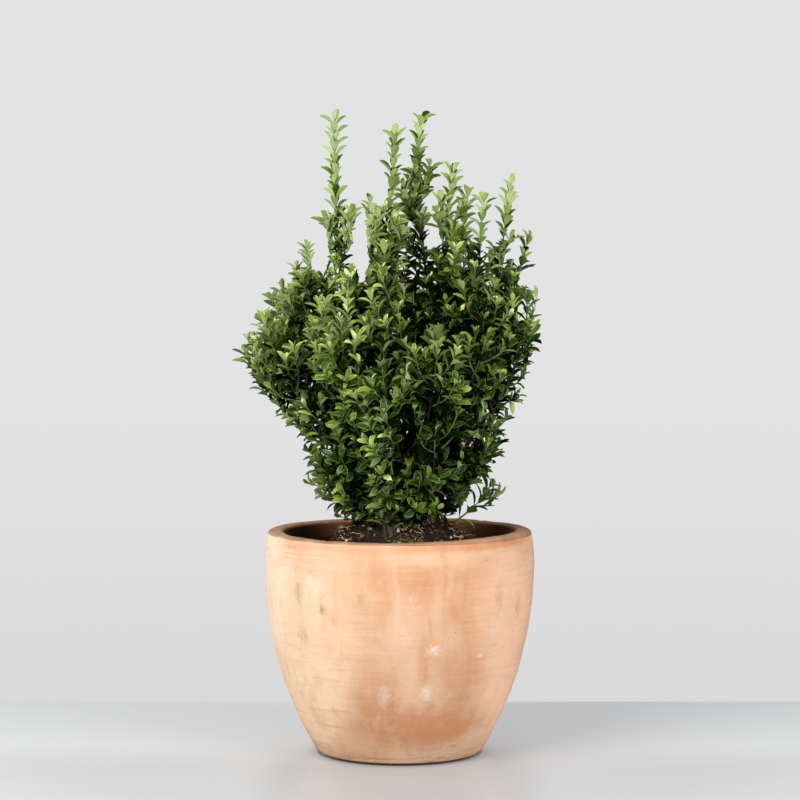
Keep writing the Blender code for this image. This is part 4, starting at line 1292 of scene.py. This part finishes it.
def makeLeaves(leaves, tones):
    dice = np.random.default_rng(31)
    count = len(leaves["size"])
    slim = leaves["slim"]
    share = dice.uniform(0.0, 1.0, count)
    bend = between(between(*leaf["bend"], share), between(*leaf["spireBend"], share), slim)
    share = dice.uniform(0.0, 1.0, count)
    fold = between(between(*leaf["fold"], share), between(*leaf["spireFold"], share), slim)
    twist = dice.normal(0, leaf["twist"], count)
    width = between(leaf["widthShare"], leaf["spireWidthShare"], slim) * dice.uniform(0.86, 1.14, count)
    points = leafPoints(leaves, bend, fold, twist, width)
    quads, triangles, verts, undersideAndRimHighlightQuads, undersideAndRimHighlightTriangles = leafFaces()
    finishes = []
    for name, (top, under) in leafTones.items():
        finishes.append(leafFinish(f"leaf_{name}", top, 0.27))
        finishes.append(leafFinish(f"leaf_under_{name}", under, 0.60))
    groups = np.array([massGroup(name) for name in masses])[leaves["owner"]]
    upperTones = tones
    for chance in (upperDarker[0], upperDarker[1] * slim):
        upperTones = np.where(dice.uniform(0, 1, count) < chance, nextDarker[upperTones], upperTones)
    for group in sorted(set(groups)):
        chosen = np.flatnonzero(groups == group)
        faces = [repeated(part, len(chosen), verts) for part in (quads, triangles)]
        # pale is the underside's tone; on the upper skin's rim it is also a painted edge highlight
        pale, plain = 2 * tones[chosen][:, None] + 1, 2 * upperTones[chosen][:, None]
        slots = [np.where(undersideAndRimHighlightQuads, pale, plain), np.where(undersideAndRimHighlightTriangles, pale, plain)]
        faceFinish = np.concatenate([part.ravel() for part in slots])
        name = f"leaves_{group}"
        piece = makePiece(name, points[chosen].reshape(-1, 3), faces, finishes, faceFinish, 24)
        nodes = [mass for mass in masses if massGroup(mass) == group]
        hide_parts(*nodes)
        triangleCount = len(chosen) * (2 * len(quads) + len(triangles))
        print(f"{name}: {len(chosen)} leaves, {triangleCount} triangles")


leaves = keptLeaves(allLeaves())
makeLeaves(leaves, toneOf(leaves))
print("leaves made:", len(leaves["size"]))


# The twigs: green where young, bark further down.
twig = {
    "foot": (0.00175, 0.00125, 0.0009),  # radius at the foot of a main twig, a side shoot and a fine one
    "tip": 0.00055,
    "green": 0.055,  # how far down from the tip
    "rows": 12,
    "sides": 5,
}


def makeTwigs():
    paths = np.stack([evenly(shoot["path"], twig["rows"]) for shoot in shoots])
    order = np.array([shoot["order"] for shoot in shoots])
    foot = np.array(twig["foot"])[order]
    foot = np.array([shoot.get("foot", usual) for shoot, usual in zip(shoots, foot)])
    share = np.linspace(0.0, 1.0, twig["rows"])
    radii = between(foot[:, None], twig["tip"], share)[:, :, None]
    points, faces = tubes(paths, radii, twig["sides"])
    length = np.array([lengthsOf(path)[-1] for path in paths])
    fromTip = length[:, None] * (1 - share[:-1])
    green = Surface("green_twig", colour=(0.105, 0.17, 0.045), roughness=0.55).material
    woody = Surface("woody_twig", colour=(0.040, 0.027, 0.018), roughness=0.8).material
    ringSlot = (fromTip > twig["green"]).astype(int)
    quadSlot = np.repeat(ringSlot[:, :, None], twig["sides"], axis=2).ravel()
    endSlot = np.repeat(ringSlot[:, [0, -1]], twig["sides"], axis=1).ravel()
    piece = makePiece("twigs", points, faces, [green, woody], np.concatenate([quadSlot, endSlot]))


makeTwigs()
print("twigs made")


def makeSoil(finish):
    # the surface is the profile turned about Z, with lumps of two sizes; it goes down inside the pot
    edge = soil["profile"][-1][0]
    surface = np.linspace(0.004, edge, soil["topRows"])
    downHeight = np.linspace(pot["height"] + soil["profile"][-1][1], pot["floor"] + 0.013, 20)[1:]
    downRadius = potRadius(downHeight) - pot["wall"] - soil["clear"]
    profile = np.concatenate([
        np.stack([surface, soilHeight(surface)], axis=1),
        np.stack([downRadius, downHeight], axis=1),
        np.stack([np.linspace(downRadius[-1] - 0.01, 0.02, 6), np.full(6, pot["floor"] + 0.0005)], axis=1),
    ])[::-1]
    radius, height, spot = turnedGrid(profile, soil["columns"])
    lumps = 0.9 * ripple(spot, 0.022, 41) + 0.6 * ripple(spot, 0.009, 42) + 0.4 * ripple(spot, 0.004, 43)
    top = smoothly(0.2, 0.225, height) * smoothly(edge, edge - 0.006, radius)
    height = height + soil["lumps"] * lumps * top
    points, faces = turnedShell(radius, height)
    piece = makePiece("compost", points, faces, [finish])
    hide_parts("soil")


def compost():
    # dark moist crumbs with brown and tan fibre between them
    peat = Surface("compost", roughness=0.95, specular=0.15)
    crumbs = peat.noise(260.0, detail=5.0, roughness=0.7)
    fibre = peat.noise(1.0, detail=3.0, stretch=(900.0, 300.0, 600.0), distortion=1.5)
    colour = peat.blend(crumbs.step(0.35, 0.7), (0.008, 0.006, 0.004), (0.042, 0.026, 0.016))
    colour = peat.blend(fibre.step(0.62, 0.75) * 0.5, colour, (0.17, 0.11, 0.06))
    return peat.finish(colour, None, crumbs + fibre * 0.5, depth=0.003, strength=0.9)


makeSoil(compost())
print("soil made")


# What lies on the soil: crumbs of bark and peat, curled dry leaves, short sticks and a little moss.
litter = {
    "crumbs": 2300,
    "crumbSize": (0.0008, 0.0024),
    "crumbTones": (0.54, 0.26, 0.14, 0.06),  # the shares of the first four tones
    "dryLeaves": 90,
    "dryLeafSize": (0.007, 0.015),
    "dryLeafReach": 0.088,
    "keyLeafLarger": 0.004,
    "sticks": 240,
    "stickLength": (0.005, 0.018),
    "stickRadius": 0.0005,
    "stickReach": 0.09,
    "stickRows": 5,
    "stickSides": 5,
    "moss": 700,
    "mossLength": (0.0025, 0.0055),
    "keyLeaves": (  # where the largest dry leaves lie, on X and Y
        (-0.002, -0.084), (0.004, -0.080), (-0.030, -0.066),
        (0.057, -0.062), (0.063, -0.056), (-0.050, -0.058),
    ),
    "mossPlace": (0.018, -0.084),
    "mossSpread": (0.022, 0.007),
    "reach": 0.099,
}
litterTones = {
    "peat": (0.020, 0.013, 0.009),
    "brown": (0.052, 0.030, 0.018),
    "barkChip": (0.155, 0.090, 0.050),
    "straw": (0.52, 0.40, 0.23),
    "dryLeaf": (0.58, 0.41, 0.26),
    "moss": (0.215, 0.235, 0.115),
}


def onSoil(dice, count, reach):
    # places spread evenly over the soil within reach of the middle
    radius = reach * np.sqrt(dice.uniform(0, 1, count))
    turn = dice.uniform(0, 2 * math.pi, count)
    return np.stack([radius * np.cos(turn), radius * np.sin(turn), soilHeight(radius)], axis=1)


def crumbShapes(dice, places):
    # an icosahedron at each place, pressed flat, with its corners pushed about
    golden = (1 + math.sqrt(5)) / 2
    corners = [(0, s, t * golden) for s in (-1, 1) for t in (-1, 1)]
    corners = np.array([(a[k], a[(k + 1) % 3], a[(k + 2) % 3]) for k in range(3) for a in corners])
    corners = unit(corners)
    apart = np.linalg.norm(corners[:, None] - corners[None], axis=2) < 1.1
    faces = []
    for a in range(12):
        for b in range(a + 1, 12):
            for c in range(b + 1, 12):
                if apart[a, b] and apart[b, c] and apart[a, c]:
                    out = np.dot(np.cross(corners[b] - corners[a], corners[c] - corners[a]), corners[a]) > 0
                    faces.append((a, b, c) if out else (a, c, b))
    count = len(places)
    size = between(*litter["crumbSize"], dice.uniform(0, 1, (count, 1, 1)) ** 2.2)
    shape = corners * dice.uniform(0.7, 1.3, (count, 12, 1)) * dice.uniform(0.25, 1.7, (count, 1, 3)) * size
    points = shape + places[:, None]
    return points.reshape(-1, 3), repeated(np.array(faces), count, 12)


def looseLeaves(dice, places, size, lean, width, bend):
    # leaves that lie or stand anywhere on the soil, by the same blade as the plant's own
    count = len(places)
    turn = dice.uniform(0, 2 * math.pi, count)
    tilt = dice.normal(*lean, count)
    flat = np.stack([np.cos(turn), np.sin(turn), 0 * turn], axis=1)
    rise, run = np.sin(tilt)[:, None], np.cos(tilt)[:, None]
    found = {"root": places, "direction": flat * run + upward * rise, "upper": upward * run - flat * rise}
    found["size"] = dice.uniform(*size, count)
    fold = dice.uniform(0.3, 0.9, count)
    twist = dice.normal(0, 0.5, count)
    return leafPoints(found, dice.uniform(*bend, count), fold, twist, np.full(count, width))


def makeDryLeaves(dice):
    # the first of them are the key leaves, which are a little larger
    count = litter["dryLeaves"]
    places = onSoil(dice, count, litter["dryLeafReach"]) + upward * 0.0012
    key = np.array(litter["keyLeaves"])
    places[: len(key)] = np.column_stack([key, soilHeight(np.hypot(*key.T)) + 0.003])
    size = np.tile(litter["dryLeafSize"], (count, 1))
    size[: len(key)] += litter["keyLeafLarger"]
    return looseLeaves(dice, places, size.T, (0.45, 0.45), 0.27, (0.8, 2.6))


def makeMoss(dice):
    # a patch of small green blades, spread about the middle of its place
    places = dice.normal(0, litter["mossSpread"], (litter["moss"], 2)) + litter["mossPlace"]
    roots = np.column_stack([places, soilHeight(np.hypot(*places.T)) + 0.0014])
    return looseLeaves(dice, roots, litter["mossLength"], (0.35, 0.45), 0.30, (0.3, 1.2))


def makeSticks(dice):
    # thin tubes that lie on the soil, a little crooked
    count, rows = litter["sticks"], litter["stickRows"]
    start = onSoil(dice, count, litter["stickReach"]) + upward * 0.001
    turn = dice.uniform(0, 2 * math.pi, count)
    run = np.stack([np.cos(turn), np.sin(turn), dice.normal(0.1, 0.25, count)], axis=1)
    length = dice.uniform(*litter["stickLength"], (count, 1))
    share = np.linspace(0, 1, rows)[None, :, None]
    sag = dice.normal(0, 0.0012, (count, rows, 3))
    paths = start[:, None] + (unit(run) * length)[:, None] * share + sag
    return tubes(paths, np.full((count, rows, 1), litter["stickRadius"]), litter["stickSides"])


def makeLitter():
    # crumbs, dry leaves, moss and sticks in one piece; a slot is the number of a tone of the litter
    dice = np.random.default_rng(53)
    count = litter["crumbs"]
    crumbPoints, crumbFaces = crumbShapes(dice, onSoil(dice, count, litter["reach"]))
    points, triangles, quads = [crumbPoints], [crumbFaces], []
    slots = [np.repeat(dice.choice(4, count, p=litter["crumbTones"]), 20)]  # a crumb has 20 faces
    quadSlots = []
    total = len(crumbPoints)
    leafQuads, leafTriangles, verts = leafFaces()[:3]
    for blades, slot in ((makeDryLeaves(dice), 4), (makeMoss(dice), 5)):
        points.append(blades.reshape(-1, 3))
        quads.append(repeated(leafQuads, len(blades), verts) + total)
        triangles.append(repeated(leafTriangles, len(blades), verts) + total)
        quadSlots.append(np.full(len(quads[-1]), slot))
        slots.append(np.full(len(triangles[-1]), slot))
        total += len(blades) * verts
    stickPoints, (stickQuads, stickEnds) = makeSticks(dice)
    points.append(stickPoints)
    quads.append(stickQuads + total)
    triangles.append(stickEnds + total)
    sideFaces = (litter["stickRows"] - 1) * litter["stickSides"]
    quadSlots.append(np.repeat(dice.choice([1, 2, 3], litter["sticks"]), sideFaces))
    slots.append(np.full(len(stickEnds), 2))
    finishes = []
    for name, tone in litterTones.items():
        finishes.append(Surface(name, colour=tone, roughness=0.9, specular=0.15).material)
    faces = [np.concatenate(quads), np.concatenate(triangles)]
    faceFinish = np.concatenate([*quadSlots, *slots])
    piece = makePiece("soil_litter", np.concatenate(points), faces, finishes, faceFinish, 30)


makeLitter()
print("litter made")


# Floor, backdrop, lights and camera.
studio = {
    "tableBack": 0.336,
    "tableSide": 3.2,
    "tableFront": 4.0,
    "cameraBack": 2.979,
    "cameraHeight": 0.574,
    "focal": 2483.0,  # in pixels of the 800-pixel frame
    "pixels": 800.0,
    "pitch": 1.5,  # degrees down
    "rise": 61.6,  # how far the lens is shifted, in pixels
    "middleColumn": 399.5,
    "background": (0.765, 0.766, 0.770),
    "lowBackground": (0.690, 0.693, 0.700),
    "dimBelow": (-0.175, -0.055),  # the share of a look's direction that points up
    "fill": 0.11,
    "fillColour": (1.0, 1.0, 0.98),
}


def paleFloor():
    # painted shade: a little dimmer in front of the pot than behind, and a painted contact shadow round its
    # foot; the glow is painted light that lifts the floor's shadows, and the same painted shade dims it
    top = Surface("pale_floor", roughness=0.30, specular=0.35, glow=0.284)
    across = top.axis("X")
    away = top.length(top.place((1.0, 1.0, 0.0)))
    middle = (across * across).step(0.002, 0.034) * 0.22
    front = top.axis("Y").step(0.06, -0.12) * (0.38 - middle) * away.step(0.70, 0.34)
    paintedContactShadow = (1.0 - away.step(0.098, 0.118)) * 0.16 + (1.0 - away.step(0.0985, 0.1010)) * 0.30
    light = 1.0 - front - paintedContactShadow
    glow = top.blend(light, (0.0, 0.0, 0.0), (0.96, 0.98, 1.0))
    top.tree.links.new(glow.socket, top.shader.inputs["Emission Color"])
    return top.finish(top.blend(light, (0.0, 0.0, 0.0), (0.488, 0.497, 0.510)))


def makeFloor():
    side, front, back = studio["tableSide"], studio["tableFront"], studio["tableBack"]
    corners = [(-side, -front, 0.0), (side, -front, 0.0), (side, back, 0.0), (-side, back, 0.0)]
    mesh = bpy.data.meshes.new("floor")
    mesh.from_pydata(corners, [], [(0, 1, 2, 3)])
    mesh.materials.append(paleFloor())
    floor = placed("floor", mesh)


def makeWorld():
    # the camera sees a pale backdrop, dimmer towards the floor, and the fill is a dimmer white
    world = bpy.data.worlds.new("studio")
    bpy.context.scene.world = world
    world.use_nodes = True
    world.node_tree.nodes.clear()
    sky = Nodes(world.node_tree)
    direction = sky.node("ShaderNodeTexCoord", output="Generated")
    up = sky.node("ShaderNodeSeparateXYZ", None, [direction], output="Z")
    low, high = studio["dimBelow"]
    height = sky.node("ShaderNodeMapRange", None, {"Value": up, "From Min": low, "From Max": high})
    backdrop = sky.blend(height, studio["lowBackground"], studio["background"])
    seen = sky.node("ShaderNodeBackground", None, {"Color": backdrop})
    white = {"Color": rgb(studio["fillColour"]), "Strength": studio["fill"]}
    fill = sky.node("ShaderNodeBackground", None, white)
    byCamera = sky.node("ShaderNodeLightPath", output="Is Camera Ray")
    mixed = sky.node("ShaderNodeMixShader", None, [byCamera, fill, seen])
    shown = sky.tree.nodes.new("ShaderNodeOutputWorld")
    sky.tree.links.new(mixed.socket, shown.inputs["Surface"])


lamps = {  # place, size, watts, colour, aimed at
    "key": ((-1.5, -1.7, 1.90), 1.7, 90.0, (1.0, 0.98, 0.95), (0.0, 0.0, 0.40)),
    "fill": ((1.9, -1.9, 1.20), 1.7, 60.0, (1.0, 0.985, 0.97), (0.0, 0.0, 0.35)),
    "overhead": ((0.0, 0.1, 2.6), 2.4, 24.0, (1.0, 1.0, 1.0), (0.0, 0.0, 0.0)),
}


def makeLamps():
    for name, (place, size, watts, colour, aim) in lamps.items():
        light = bpy.data.lights.new(name, "AREA")
        light.shape = "SQUARE"
        light.size = size
        light.energy = watts
        light.color = colour
        placed(name, light).matrix_world = aimed(place, aim)


def aimed(place, aim):
    # a matrix at place whose -Z axis looks at aim
    turn = (Vector(aim) - Vector(place)).to_track_quat("-Z", "Y")
    return Matrix.Translation(place) @ turn.to_matrix().to_4x4()


def makeCamera():
    lens = bpy.data.cameras.new("camera")
    lens.sensor_width = 36.0
    lens.lens = studio["focal"] / studio["pixels"] * lens.sensor_width
    camera = placed("camera", lens)
    camera.location = (0.0, -studio["cameraBack"], studio["cameraHeight"])
    camera.rotation_euler = (math.radians(90.0 - studio["pitch"]), 0.0, 0.0)
    lens.shift_x = 0.5 - studio["middleColumn"] / studio["pixels"]
    lens.shift_y = -studio["rise"] / studio["pixels"]
    bpy.context.scene.camera = camera


makeFloor()
makeWorld()
makeLamps()
makeCamera()
bpy.context.scene.view_settings.view_transform = "Standard"
print("studio made")
